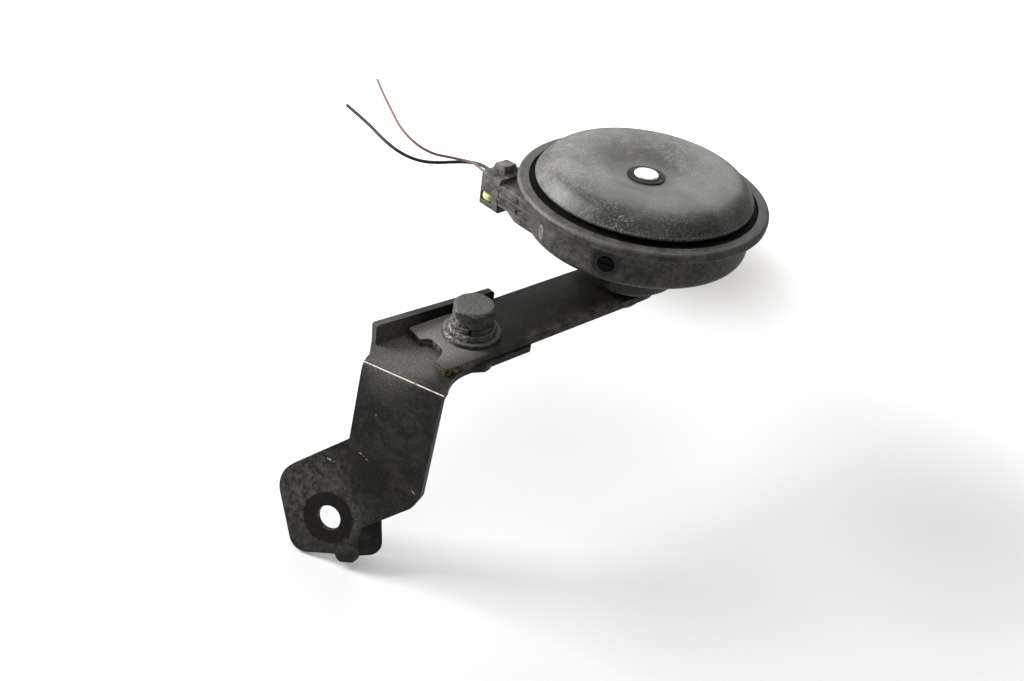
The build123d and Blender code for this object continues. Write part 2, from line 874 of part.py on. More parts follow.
def make_horn_arm():
    """Flat bar: round under the horn, cut to two prongs and a scallop at its free end."""
    half = arm_half_width
    far_x = arm_end_x + arm_far_prong_setback
    far_y = half - arm_far_prong_width
    near_y = -half + arm_near_prong_width
    notch_x = arm_end_x + arm_notch_depth
    slope_y = near_y + arm_notch_round
    points = [
        (0, -half),
        (0, half),
        (far_x, half),
        (far_x, far_y),
        (notch_x, far_y - arm_notch_round / 2),
        (notch_x, slope_y),
        (arm_end_x, near_y),
        (arm_end_x, -half),
    ]
    radii = [0, 0, arm_corner, 0, arm_notch_round / 2, arm_notch_round, arm_corner, arm_corner]
    bar = Pos(0, 0, plate_top) * extrude(outline(points, radii), arm_sheet)
    bar += drum(half, plate_top, arm_top)
    bar -= drum(stud_hole_radius, plate_top - cut_overrun, arm_top + cut_overrun)
    return bar - Pos(bolt_x, 0, 0) * drum(bolt_hole_radius, plate_top - cut_overrun, arm_top + cut_overrun)


def make_stud_washer():
    return washer(stud_washer_radius, stud_hole_radius, plate_top - stud_washer_height, plate_top)


def make_stud_nut():
    top = plate_top - stud_washer_height
    return hexagon_prism(stud_nut_flats, stud_nut_bottom, top) - drum(stud_radius, stud_nut_bottom, top)


def make_flat_washer():
    ring = washer(flat_washer_radius, bolt_hole_radius, arm_top, arm_top + flat_washer_height)
    return Pos(bolt_x, 0, 0) * ring


def make_collar_washer():
    bottom = arm_top + flat_washer_height
    ring = washer(collar_washer_radius, bolt_hole_radius, bottom, bottom + collar_washer_height)
    ring = fillet(ring.edges().group_by(Axis.Z)[-1].sort_by(lambda e: e.radius)[-1], collar_washer_height / 2)
    return Pos(bolt_x, 0, 0) * ring


def spring_washer_bottom():
    return arm_top + flat_washer_height + collar_washer_height


def make_spring_washer():
    """Split ring under the bolt's head."""
    bottom = spring_washer_bottom()
    ring = washer(spring_washer_radius, bolt_hole_radius, bottom, bottom + spring_washer_height)
    half = spring_washer_gap / 2
    slit = block((-spring_washer_radius, -half, bottom), (0, half, bottom + spring_washer_height))
    return Pos(bolt_x, 0, 0) * (ring - Rot(0, 0, 45) * slit)


def make_clamp_bolt():
    """Hexagon bolt; its head's corners are turned off by a cone."""
    head_bottom = spring_washer_bottom() + spring_washer_height
    head_top = head_bottom + bolt_head_height
    head = hexagon_prism(bolt_flats, head_bottom, head_top)
    corner_radius = bolt_flats / 2 / cos(pi / 6)
    cone = drum(corner_radius, head_bottom, head_top)
    cut = corner_radius - bolt_flats / 2 + bolt_flats * bolt_head_chamfer_share
    cone = chamfer(cone.edges().group_by(Axis.Z)[-1], cut / 2, cut)
    head = head & cone
    shank = drum(bolt_radius, head_bottom - bolt_length, head_bottom)
    return Pos(bolt_x, 0, 0) * (head + shank)


def make_weld_nut():
    top = plate_top - bracket_sheet
    nut = hexagon_prism(weld_nut_flats, top - weld_nut_height, top)
    return Pos(bolt_x, 0, 0) * (nut - drum(bolt_radius, top - weld_nut_height, top))


# Mounting bracket

def first_bend():
    """Frame of the first bend: X along the bend towards the near side, Y back up the plate."""
    return Pos(first_bend_x, first_bend_y, plate_top) * Rot(0, 0, first_bend_heading - 90)


def strip_frame():
    return first_bend() * Rot(first_bend_turn, 0, 0)


def foot_frame():
    """Frame of the foot plate, its origin at the mounting hole."""
    return bend_frame() * Rot(-second_bend_turn, 0, 0) * Pos(-hole_along_bend, -hole_below_bend, 0)


def skin_radius(turn):
    """Radius of the bracket's front skin in a bend; a bend forwards has its inside there."""
    return bend_inside_radius + bracket_sheet if turn > 0 else bend_inside_radius


def setback(turn):
    """Distance from a bend's line to where the flat sheet begins."""
    return skin_radius(turn) * tan(radians(abs(turn)) / 2)


def bend_frame():
    """Frame of the second bend: X along its line, Y back up the strip."""
    return strip_frame() * Pos(0, -strip_length, 0) * Rot(0, 0, -second_bend_skew)


def second_bend_ends():
    """Where the second bend begins and ends along its own line."""
    run = cos(radians(second_bend_skew))
    return (-strip_half_width - strip_far_spread) / run, (strip_half_width - strip_near_taper) / run


def make_bend(frame, start, end, turn):
    """Curved sheet between two flats, drawn in the frame of the bend's line."""
    way = 1 if turn > 0 else -1
    line_y = setback(turn)
    face = Rot(90, 0, 0) * Rectangle(end - start, bracket_sheet)
    face = Pos((start + end) / 2, line_y, -bracket_sheet / 2) * face
    axis = Axis((0, line_y, -way * skin_radius(turn)), (way, 0, 0))
    return frame * revolve(face, axis, revolution_arc=abs(turn))


def place_of(frame, x, y):
    """Where a point of a flat frame lies in the horn's frame."""
    return (frame * Pos(x, y, 0)).position


def meeting(angle_a, distance_a, angle_b, distance_b):
    """Point where two sides meet, each given by its outward direction and its distance."""
    ax, ay = cos(radians(angle_a)), sin(radians(angle_a))
    bx, by = cos(radians(angle_b)), sin(radians(angle_b))
    area = ax * by - ay * bx
    return ((distance_a * by - distance_b * ay) / area, (distance_b * ax - distance_a * bx) / area)


def make_top_plate():
    near = place_of(first_bend(), strip_half_width, setback(first_bend_turn))
    far = place_of(first_bend(), -strip_half_width, setback(first_bend_turn))
    far_y = arm_half_width + flange_gap + bracket_sheet
    points = [
        (plate_end_x, -plate_near_y),
        (plate_end_x, far_y),
        (flange_left_x, far_y),
        (far.X, far.Y),
        (near.X, near.Y),
        (flare_x, -plate_waist_y),
        (ear_end_x, -plate_waist_y),
        (ear_tip_x, -plate_near_y - ear_width),
        (ear_start_x, -plate_near_y - ear_width / 2),
        (ear_start_x, -plate_near_y),
    ]
    radii = [bracket_sheet / 2, 0, 0, 0, 0, flare_round, bracket_sheet / 2, bracket_sheet / 4, 0, 0]
    face = outline(points, radii)
    return Pos(0, 0, plate_top - bracket_sheet) * extrude(face, bracket_sheet)


def make_flange():
    """Upturned edge along the far side of the arm."""
    inner_y = arm_half_width + flange_gap
    bottom = plate_top - bracket_sheet
    top = plate_top + flange_height
    points = [
        (flange_left_x, bottom),
        (flange_right_x, bottom),
        (flange_right_x, top - flange_right_drop),
        (flange_left_x, top),
    ]
    face = outline(points, [0, flange_end_radius, flange_end_radius / 2, flange_end_radius / 3])
    return Pos(0, inner_y + bracket_sheet, 0) * extrude(Rot(90, 0, 0) * face, bracket_sheet)


def make_strip():
    """Steep flat between the two bends."""
    start_y = -setback(first_bend_turn)
    points = [(-strip_half_width, start_y), (strip_half_width, start_y)]
    to_strip = Pos(0, -strip_length, 0) * Rot(0, 0, -second_bend_skew)
    for place in second_bend_ends()[::-1]:
        corner = (to_strip * Pos(place, setback(-second_bend_turn), 0)).position
        points.append((corner.X, corner.Y))
    return strip_frame() * extrude(outline(points, [0, 0, 0, 0]), -bracket_sheet)


def foot_points():
    """Corners of the foot plate around its hole, from the upper far corner on."""
    side = (foot_side_angle, foot_side_distance)
    lower = (foot_lower_side_angle, foot_lower_side_distance)
    bottom = (foot_bottom_angle, foot_bottom_distance)
    fold = (foot_fold_angle, foot_fold_distance)
    inner = (foot_inner_angle, foot_inner_distance)
    upper_y = hole_below_bend - setback(-second_bend_turn)
    start, end = second_bend_ends()
    return [
        (start + hole_along_bend, upper_y),
        meeting(*side, *lower),
        meeting(*lower, *bottom),
        meeting(*bottom, *fold),
        meeting(*fold, *inner),
        meeting(*inner, 90, hole_below_bend - foot_shoulder_drop),
        (end + hole_along_bend, upper_y),
    ]


def make_foot():
    radii = [0, foot_side_round, foot_bottom_round, 0, 0, foot_shoulder_round, 0]
    plate = extrude(outline(foot_points(), radii), -bracket_sheet)
    return foot_frame() * (plate + make_nub())


def make_nub():
    """Locating nub on the bottom edge, its end bent back."""
    half = nub_width / 2
    reach = foot_bottom_distance + nub_reach
    points = [
        (foot_bottom_distance - bracket_sheet, half),
        (foot_bottom_distance - bracket_sheet, -half),
        (foot_bottom_distance, -half),
        (reach, -half + nub_round / 2),
        (reach, half - nub_round / 2),
        (foot_bottom_distance, half),
    ]
    tab = extrude(outline(points, [0, 0, 0, nub_round, nub_round, 0]), -bracket_sheet)
    inner = half - nub_round
    tab += block((reach - bracket_sheet, -inner, -nub_leg), (reach, inner, 0))
    return Rot(0, 0, foot_bottom_angle) * Pos(0, nub_along, 0) * tab


def make_lobe():
    """Rounded tab beside the foot, lanced free and bent back about its fold."""
    points = [
        (0, -lobe_length / 2),
        (lobe_reach, -lobe_length / 2),
        (lobe_reach, lobe_length / 2 + lobe_lift),
        (0, lobe_length / 2 + lobe_lift),
        (0, lobe_length / 2),
    ]
    face = outline(points, [0, lobe_round, lobe_round / 3, 0, 0])
    plate = extrude(face, -bracket_sheet)
    low = meeting(foot_bottom_angle, foot_bottom_distance, foot_fold_angle, foot_fold_distance)
    turn = radians(foot_fold_angle)
    along = low[1] * cos(turn) - low[0] * sin(turn) + lobe_length / 2
    place = Rot(0, 0, foot_fold_angle) * Pos(foot_fold_distance, along, 0) * Rot(0, lobe_turn, 0)
    return foot_frame() * (place * plate)


def make_bracket_plate():
    """Top plate with its upturned flange; it ends where the first bend begins."""
    bottom = plate_top - bracket_sheet - cut_overrun
    hole = Pos(bolt_x, 0, 0) * drum(bolt_hole_radius, bottom, plate_top + cut_overrun)
    return make_top_plate() + make_flange() - hole


def make_lower_bracket():
    """First bend, steep strip, second bend and foot; one folded sheet together with the top plate."""
    body = make_bend(first_bend(), -strip_half_width, strip_half_width, first_bend_turn)
    body += make_strip()
    body += make_bend(bend_frame(), *second_bend_ends(), -second_bend_turn)
    body += make_foot()
    body += make_lobe()
    bore = Cylinder(hole_radius, 4 * bracket_sheet)
    align = (Align.CENTER, Align.CENTER, Align.MIN)
    seat = Pos(0, 0, -seat_recess) * Cylinder(seat_radius, 2 * bracket_sheet, align=align)
    return body - foot_frame() * bore - foot_frame() * seat


def main():
    """Every sub-part by name, written to its own STEP file."""
    shapes = {
        "housing_can": make_housing_can(),
        "rim_ring": make_rim_ring(),
        "gasket_ring": make_gasket_ring(),
        "diaphragm": make_diaphragm(),
        "tone_disc": make_tone_disc(),
        "centre_rivet": make_centre_rivet(),
        "rivet_washer": make_rivet_washer(),
        "disc_spacer": make_disc_spacer(),
        "armature": make_armature(),
        "push_ring": make_push_ring(),
        "core_stud": make_core_stud(),
        "coil_bobbin": make_coil_bobbin(),
        "coil_winding": make_coil_winding(),
        "breaker_base": make_breaker_base(),
        "arm_clamp_strip": make_arm_clamp_strip(),
        "breaker_arm": make_breaker_arm(),
        "moving_contact": make_moving_contact(),
        "fixed_contact": make_fixed_contact(),
        "fixed_contact_bracket": make_fixed_contact_bracket(),
        "breaker_insulator": make_breaker_insulator(),
        "breaker_rivets": make_breaker_rivets(),
        "adjusting_screw": make_adjusting_screw(),
        "screw_bush": make_screw_bush(),
        "connector_socket": make_connector_socket(),
        "terminal_blades": make_terminal_blades(),
        "plug_housing": make_plug_housing(),
        "plug_lock": make_plug_lock(),
        "plug_contacts": make_plug_contacts(),
        "wire_seals": make_wire_seals(),
        "wire_black": make_wire(1, black_route, black_wire_radius, "wire_black"),
        "wire_brown": make_wire(-1, brown_route, brown_wire_radius, "wire_brown"),
        "stud_spacer": make_stud_spacer(),
        "horn_arm": make_horn_arm(),
        "stud_washer": make_stud_washer(),
        "stud_nut": make_stud_nut(),
        "bracket_plate": make_bracket_plate(),
        "lower_bracket": make_lower_bracket(),
        "flat_washer": make_flat_washer(),
        "collar_washer": make_collar_washer(),
        "spring_washer": make_spring_washer(),
        "clamp_bolt": make_clamp_bolt(),
        "weld_nut": make_weld_nut(),
    }
    hole_middle = foot_frame() * Pos(0, 0, -(bracket_sheet + seat_recess) / 2)
    to_origin = Location(-hole_middle.position)
    os.makedirs("parts", exist_ok=True)
    for name, shape in shapes.items():
        export_step(to_origin * shape, f"parts/{name}.step")


main()
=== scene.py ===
import json
import bmesh
import bpy
import numpy as np
from mathutils import Matrix, Vector


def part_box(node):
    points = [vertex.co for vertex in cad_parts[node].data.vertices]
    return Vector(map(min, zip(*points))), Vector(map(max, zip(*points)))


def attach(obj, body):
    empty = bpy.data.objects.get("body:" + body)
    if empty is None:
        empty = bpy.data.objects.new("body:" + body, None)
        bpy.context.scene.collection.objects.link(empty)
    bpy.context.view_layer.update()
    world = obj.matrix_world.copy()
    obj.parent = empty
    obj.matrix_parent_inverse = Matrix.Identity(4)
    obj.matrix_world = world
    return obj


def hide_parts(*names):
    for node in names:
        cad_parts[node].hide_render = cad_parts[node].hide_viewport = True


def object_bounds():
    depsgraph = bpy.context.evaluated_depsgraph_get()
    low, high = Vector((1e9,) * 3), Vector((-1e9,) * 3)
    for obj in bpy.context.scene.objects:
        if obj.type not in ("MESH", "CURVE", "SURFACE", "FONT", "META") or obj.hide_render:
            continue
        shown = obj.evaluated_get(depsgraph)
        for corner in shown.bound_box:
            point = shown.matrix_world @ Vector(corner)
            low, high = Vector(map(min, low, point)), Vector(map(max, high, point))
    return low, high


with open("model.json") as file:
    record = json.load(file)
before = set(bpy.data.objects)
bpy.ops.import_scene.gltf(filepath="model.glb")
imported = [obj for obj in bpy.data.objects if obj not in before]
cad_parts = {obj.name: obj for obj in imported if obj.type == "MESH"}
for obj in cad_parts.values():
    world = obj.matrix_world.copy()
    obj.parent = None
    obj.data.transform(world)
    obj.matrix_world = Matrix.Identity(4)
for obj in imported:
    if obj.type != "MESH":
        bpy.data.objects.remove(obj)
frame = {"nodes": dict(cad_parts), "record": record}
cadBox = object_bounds()
nodes = frame["nodes"]
scene = bpy.context.scene
millimetre = 0.001


class Named(dict):  # a dictionary whose values are read by name, as in bolt.headTop
    __getattr__ = dict.__getitem__


# All sizes below are millimetres on the horn's own axes: zero is on the rim's axis, level with the rim's top
rimLow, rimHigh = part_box("rim_ring")
hornZero = np.array([(rimLow.x + rimHigh.x) / 2, (rimLow.y + rimHigh.y) / 2, rimHigh.z])


def hornPoint(points):
    return np.asarray(points, float) * millimetre + hornZero


# Camera
cameraSetup = Named(
    place=(-241.215, -197.720, 152.052), right=(0.7761, -0.6190, 0.1203), up=(0.2958, 0.5259, 0.7975),
    lens=33.75, sensor=36.0,
    clip=(0.01, 20.0),  # metres
)


def makeCamera():
    data = bpy.data.cameras.new("camera")
    data.lens = cameraSetup.lens
    data.sensor_width = cameraSetup.sensor
    data.clip_start, data.clip_end = cameraSetup.clip
    camera = bpy.data.objects.new("camera", data)
    scene.collection.objects.link(camera)
    right = Vector(cameraSetup.right).normalized()
    up = Vector(cameraSetup.up)
    up = (up - right * up.dot(right)).normalized()
    turn = Matrix((right, up, right.cross(up))).transposed()
    camera.matrix_world = Matrix.Translation(hornPoint(cameraSetup.place)) @ turn.to_4x4()
    scene.camera = camera


makeCamera()
print("camera ready")


# A socket that can be reckoned with: each operator adds its maths node
class Value:
    def __init__(self, finish, socket, vector=False):
        self.finish = finish
        self.socket = socket
        self.vector = vector

    def maths(self, operation, *others):
        kind = "ShaderNodeVectorMath" if self.vector else "ShaderNodeMath"
        return self.finish.node(kind, {"operation": operation}, (self, *others), vector=self.vector)

    def __add__(self, other):
        return self.maths("ADD", other)

    def __sub__(self, other):
        return self.maths("SUBTRACT", other)

    def __rsub__(self, other):
        return self.finish.node("ShaderNodeMath", {"operation": "SUBTRACT"}, (other, self))

    def __mul__(self, other):
        return self.maths("MULTIPLY", other)

    def __abs__(self):
        return self.maths("ABSOLUTE")

    def line(self, gain, base):
        return self * gain + base

    def over(self, other):
        return self.maths("MAXIMUM", other)

    def under(self, other):
        return self.maths("MINIMUM", other)

    def dot(self, other):
        return self.finish.node("ShaderNodeVectorMath", {"operation": "DOT_PRODUCT"}, (self, other), "Value")

    def distance(self, other):
        return self.finish.node("ShaderNodeVectorMath", {"operation": "DISTANCE"}, (self, other), "Value")

    def part(self, axis):
        return self.finish.node("ShaderNodeSeparateXYZ", {}, (self,), axis)

    def ramp(self, low, high):  # 0 at low, 1 at high, smooth between, whichever of the two is larger
        kind = {"interpolation_type": "SMOOTHSTEP"}
        if low > high:
            return 1 - self.finish.node("ShaderNodeMapRange", kind, (self, high, low))
        return self.finish.node("ShaderNodeMapRange", kind, (self, low, high))

    def radius(self):  # distance of a place from the horn's axis
        axis = self.finish.node("ShaderNodeCombineXYZ", {}, {"Z": self.part("Z")}, vector=True)
        return self.distance(axis)


# A material in the making. Where values stand together in the dictionaries below:
# noise is (scale, detail, roughness, distortion), and a cloud adds (none at, full at)
# a spot is (centre, full within, gone beyond), and a side is (direction, none at, full at)
# a line is (gain, base), a tint is (share, tone), relief is (noise, the grain's share, strength)
# and grit is (cloud, share, size)
class Finish:
    def __init__(self, name):
        self.material = bpy.data.materials.new(name)
        self.material.use_nodes = True
        self.tree = self.material.node_tree
        self.tree.nodes.clear()
        here = self.node("ShaderNodeTexCoord", output="Object", vector=True)
        self.here = (here - tuple(hornZero)) * (1 / millimetre)  # the place, on the horn's axes

    def node(self, kind, settings=None, inputs=(), output=0, vector=False):
        made = self.tree.nodes.new(kind)
        for key, value in (settings or {}).items():
            setattr(made, key, value)
        pairs = inputs.items() if isinstance(inputs, dict) else enumerate(inputs)
        for key, value in pairs:
            socket = made.inputs[key]
            if isinstance(value, Value):
                self.tree.links.new(value.socket, socket)
            elif socket.type == "RGBA":
                socket.default_value = (*value, 1)
            elif socket.type == "VECTOR" and not hasattr(value, "__len__"):
                socket.default_value = (value, value, value)
            else:
                socket.default_value = value
        return Value(self, made.outputs[output], vector)

    def normal(self):
        return self.node("ShaderNodeNewGeometry", output="Normal", vector=True)

    def noise(self, scale, detail=4.0, roughness=0.55, distortion=0.0):
        values = {"Vector": self.here, "Scale": scale, "Detail": detail, "Roughness": roughness}
        return self.node("ShaderNodeTexNoise", {}, {**values, "Distortion": distortion})

    def cloud(self, noise, low, high):
        return self.noise(*noise).ramp(low, high)

    def grains(self, place, scale):  # distance to the nearest of many scattered points
        return self.node("ShaderNodeTexVoronoi", {}, {"Vector": place, "Scale": scale})

    def mix(self, share, low, high):  # sockets 6, 7 and 2 are the node's colours
        return self.node("ShaderNodeMix", {"data_type": "RGBA"}, {0: share, 6: low, 7: high}, 2)

    def tint(self, color, where, share, tone):
        return self.mix(where * share, color, tone)

    def spot(self, centre, inner, outer):
        return self.here.distance(centre).ramp(outer, inner)

    def streak(self, place, start, end, width):  # 1 along a straight scratch, 0 beside it
        start, end = np.array(start, float), np.array(end, float)
        run = end - start
        share = (place - tuple(start)).dot(tuple(run / run.dot(run))).over(0.0).under(1.0)
        inputs = {0: tuple(run), "Scale": share}
        along = self.node("ShaderNodeVectorMath", {"operation": "SCALE"}, inputs, vector=True)
        return (place - along).distance(tuple(start)).ramp(width, width * paint.streakCore)

    def mask(self, layer, grain=None):  # product of all that bounds the layer
        masks = [self.here.dot(direction).ramp(low, high) for direction, low, high in layer.get("sides", ())]
        if "spot" in layer:
            masks.append(self.spot(*layer["spot"]))
        if "cloud" in layer:
            masks.append(self.cloud(*layer["cloud"]))
        if "grain" in layer:
            masks.append(grain.line(*layer["grain"]))
        whole = masks[0]
        for mask in masks[1:]:
            whole = whole * mask
        return whole

    def lay(self, color, layers, grain=None):  # each layer's tone is laid over the colour in its turn
        for layer in layers:
            color = self.tint(color, self.mask(layer, grain), layer["share"], layer["tone"])
        return color

    def bump(self, height, strength, distance=0.0002):
        values = {"Height": height, "Strength": strength, "Distance": distance}
        return self.node("ShaderNodeBump", {}, values, vector=True)

    def surface(self, color, roughness, metallic=0.0, normal=None, specular=0.3):
        shader = self.tree.nodes.new("ShaderNodeBsdfPrincipled")
        self.tree.links.new(color.socket, shader.inputs["Base Color"])
        self.tree.links.new(roughness.socket, shader.inputs["Roughness"])
        self.tree.links.new(normal.socket, shader.inputs["Normal"])
        shader.inputs["Metallic"].default_value = metallic
        shader.inputs["Specular IOR Level"].default_value = specular
        return self.show(shader.outputs[0])

    def show(self, shader):
        output = self.tree.nodes.new("ShaderNodeOutputMaterial")
        self.tree.links.new(shader, output.inputs["Surface"])
        return self.material


def shaded(tone, share, lift=0.0):
    return tuple(share * level + lift for level in tone)


# Wires: the same routes as the cords in the part's source, counted from the socket's place
socketPlace = (-32.3, 30.0, -10.9)
wireSetup = {
    "blackWire": {
        "node": "wire_black",
        "slot": "black_insulation",
        "diameter": 1.3,
        "length": 73.5,
        "tone": (0.007, 0.007, 0.007),
        "route": [
            (0.52, 12.67, 3.0), (0.22, 16.96, 3.0), (0.4, 23.0, 2.6), (-1.5, 28.3, 1.3),
            (-5.2, 32.3, 0.2), (-10.7, 34.8, -0.1), (-16.2, 37.5, 0.4), (-21.0, 42.8, 1.9),
            (-23.2, 51.5, 3.9), (-23.4, 64.0, 6.4), (-25.2, 75.5, 8.7),
        ],
    },
    "brownWire": {
        "node": "wire_brown",
        "slot": "brown_insulation",
        "diameter": 1.0,
        "length": 73.5,
        "tone": (0.19, 0.112, 0.096),
        "route": [
            (-2.28, 12.47, 3.0), (-2.58, 16.76, 3.0), (-2.6, 22.9, 3.8), (-4.5, 27.6, 3.1),
            (-8.2, 31.0, 3.5), (-13.9, 33.0, 4.9), (-18.7, 37.6, 7.7), (-19.9, 46.6, 10.7),
            (-17.3, 57.5, 13.5), (-14.7, 66.8, 15.3), (-11.5, 76.0, 16.7),
        ],
    },
}
wireLook = Named(
    order=3, resolution=10, roundness=4, dust=((0.8, 5), 0.45, 0.75), dustShare=0.3,
    dustTone=(0.6, 0.06),  # share of the insulation's tone, and what is added to it
    roughNoise=(1.5,), rough=(0.2, 0.36), relief=(2.5,), reliefStrength=0.12,
)


def insulation(name, tone):
    finish = Finish(name)
    dust = finish.cloud(*wireLook.dust) * wireLook.dustShare
    color = finish.mix(dust, tone, shaded(tone, *wireLook.dustTone))
    rough = finish.noise(*wireLook.roughNoise).line(*wireLook.rough)
    relief = finish.bump(finish.noise(*wireLook.relief), wireLook.reliefStrength)
    return finish.surface(color, rough, normal=relief)


def makeWire(name, setup):
    points = hornPoint(np.array(setup["route"]) + socketPlace)
    curve = bpy.data.curves.new(name, "CURVE")
    curve.dimensions = "3D"
    spline = curve.splines.new("NURBS")
    spline.points.add(len(points) - 1)
    spline.points.foreach_set("co", np.column_stack([points, np.ones(len(points))]).ravel())
    spline.order_u = wireLook.order
    spline.use_endpoint_u = True
    spline.resolution_u = wireLook.resolution
    curve.bevel_depth = setup["diameter"] * millimetre / 2
    curve.bevel_resolution = wireLook.roundness
    curve.use_fill_caps = True
    wire = bpy.data.objects.new(name, curve)
    scene.collection.objects.link(wire)
    curve.materials.append(insulation(name + "Skin", setup["tone"]))
    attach(wire, "horn")
    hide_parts(setup["node"])


for wireName, setup in wireSetup.items():
    makeWire(wireName, setup)
print("wires laid")


# Black paint: clean and dark below, grey dust in clouds and grain, pale grit and brown grime here and there
up, along = (0, 0, 1), (1, 0, 0)
paint = Named(
    dark=(0.0075, 0.0072, 0.0066), dust=(0.15, 0.142, 0.125), grime=(0.026, 0.023, 0.015),
    grit=(0.42, 0.4, 0.35),
    cloud=((6, 0.62, 0.4), 0.36, 0.66),  # its noise scale is each surface's own
    cloudShare=0.35, cloudGrain=(0.7, 0.5), fine=((1.35, 3, 0.8), 0.47, 0.66),
    flecks=((0.55, 4, 0.75), 0.46, 0.68), grainShare=0.6, stain=((0.09, 4, 0.6), 0.5, 0.7),
    gritNoise=(0.5, 3, 0.7), gritShift=1.5, gritWhere=(0.42, 0.6), gritCore=0.4, streakCore=0.4,
)


def dustGrain(finish):  # sparse pale grains, some of them in flecks
    fine = finish.cloud(*paint.fine)
    flecks = finish.cloud(*paint.flecks)
    return fine * paint.grainShare + flecks * fine * paint.grainShare


def paintedBase(finish, look):
    noise, low, high = paint.cloud
    cloud = finish.cloud((1 / look.cloudSize, *noise), low, high)
    grain = dustGrain(finish)
    dusty = (cloud * paint.cloudShare + grain * cloud.line(*paint.cloudGrain)) * look.dustiness
    color = finish.mix(dusty, paint.dark, paint.dust)
    stain = finish.cloud(*paint.stain) * look.grime
    color = finish.mix(stain, color, paint.grime)
    return finish.lay(color, look.layers, grain), dusty, grain


def addGrit(finish, color, amount, size, scale=0.75):  # amount says where the grit lies and how thickly
    uneven = finish.noise(*paint.gritNoise)
    shifted = finish.here + uneven * paint.gritShift
    dots = finish.grains(shifted, scale).ramp(size, size * paint.gritCore)
    dots = dots * uneven.ramp(*paint.gritWhere)
    return finish.mix(dots * amount, color, paint.grit)


def paintSurface(finish, color, rough, grain, look):
    noise, grainShare, strength = look.relief
    relief = finish.bump(finish.noise(*noise) + grain * grainShare, strength)
    return finish.surface(color, rough, normal=relief, specular=look.specular)


def gritSurface(finish, color, rough, grain, look):
    cloud, share, size = look.grit
    color = addGrit(finish, color, finish.cloud(*cloud) * share, size)
    return paintSurface(finish, color, rough, grain, look)


discLook = Named(
    dark=(0.013, 0.0126, 0.0114), dust=(0.28, 0.275, 0.25), dustLevel=0.42,
    # painted light on the left side and a painted sheen at the back, painted shade behind the button and in
    # the dip round it
    lightSide=((-30, 24, 4), 4, 46), lightSideShare=0.58, farShade=((-3, 14, 6), 3, 15),
    farShadeShare=0.3, halo=(11.5, 7.0), haloShare=0.3, farSide=((0.75, 0.66, 0), -34, 24),
    farSideShare=0.28, cloud=((0.05, 6, 0.62, 0.6), 0.34, 0.66), cloudShare=0.3, grain=(0.72, 0.1),
    blotch=((0.11, 6, 0.7, 1.4), 0.36, 0.6), blotchLine=(0.4, 0.68), lip=(37.2, 38.6),
    lipTint=(0.5, (0.26, 0.25, 0.225)),
    layers=[
        {"share": 0.65, "tone": (0.055, 0.05, 0.03), "spot": ((6, 15, 6), 4, 20),
         "cloud": ((0.3, 5, 0.7), 0.38, 0.62)},
        {"share": 0.55, "tone": (0.38, 0.375, 0.3), "spot": ((20.5, 7, 8), 2, 12),
         "cloud": ((0.55, 6, 0.8, 1.8), 0.52, 0.6)},
    ],
    gritSpots=[((-34.5, -18, 6), 3, 14), ((-18, -31, 6), 2, 9)], gritCloud=((0.08,), 0.58, 0.7),
    gritCloudShare=0.6,
    flakeClouds=[((1.7, 4, 0.75), 0.53, 0.62), ((0.35, 3), 0.46, 0.6)],
    flakeTint=(0.7, (0.34, 0.325, 0.28)), gritShare=0.6, gritSize=0.22, gritScale=0.8, rough=(0.15, 0.44),
    relief=((1.8, 5, 0.6), 0.6, 0.22), specular=0.4,
)


def discDustAndPaintedLight(finish, grain):  # dust, raised on the left and at the back as painted light, lowered behind and round the button as painted shade
    look = discLook
    direction, low, high = look.farSide
    lightSide = finish.spot(*look.lightSide) * look.lightSideShare
    farSide = finish.here.dot(direction).ramp(low, high) * look.farSideShare
    farShade = finish.spot(*look.farShade) * look.farShadeShare
    halo = finish.here.radius().ramp(*look.halo) * look.haloShare
    # the dust's level, with the painted light and painted shade added in
    level = lightSide + farSide + look.dustLevel - farShade - halo
    dusty = finish.cloud(*look.cloud) * look.cloudShare + grain.line(*look.grain)
    return (dusty * level * finish.cloud(*look.blotch).line(*look.blotchLine)).under(1.0)


def discPaint():
    finish = Finish("dustyDiscPaint")
    look = discLook
    grain = dustGrain(finish)
    color = finish.mix(discDustAndPaintedLight(finish, grain), look.dark, look.dust)
    lip = finish.here.radius().ramp(*look.lip)
    color = finish.tint(color, lip * grain, *look.lipTint)
    color = finish.lay(color, look.layers)
    first, second = (finish.spot(*spot) for spot in look.gritSpots)
    grit = first.over(second).over(finish.cloud(*look.gritCloud) * look.gritCloudShare)
    fine, coarse = (finish.cloud(*cloud) for cloud in look.flakeClouds)
    color = finish.tint(color, grit * fine * coarse, *look.flakeTint)
    color = addGrit(finish, color, grit * look.gritShare, look.gritSize, look.gritScale)
    return paintSurface(finish, color, grain.line(*look.rough), grain, look)


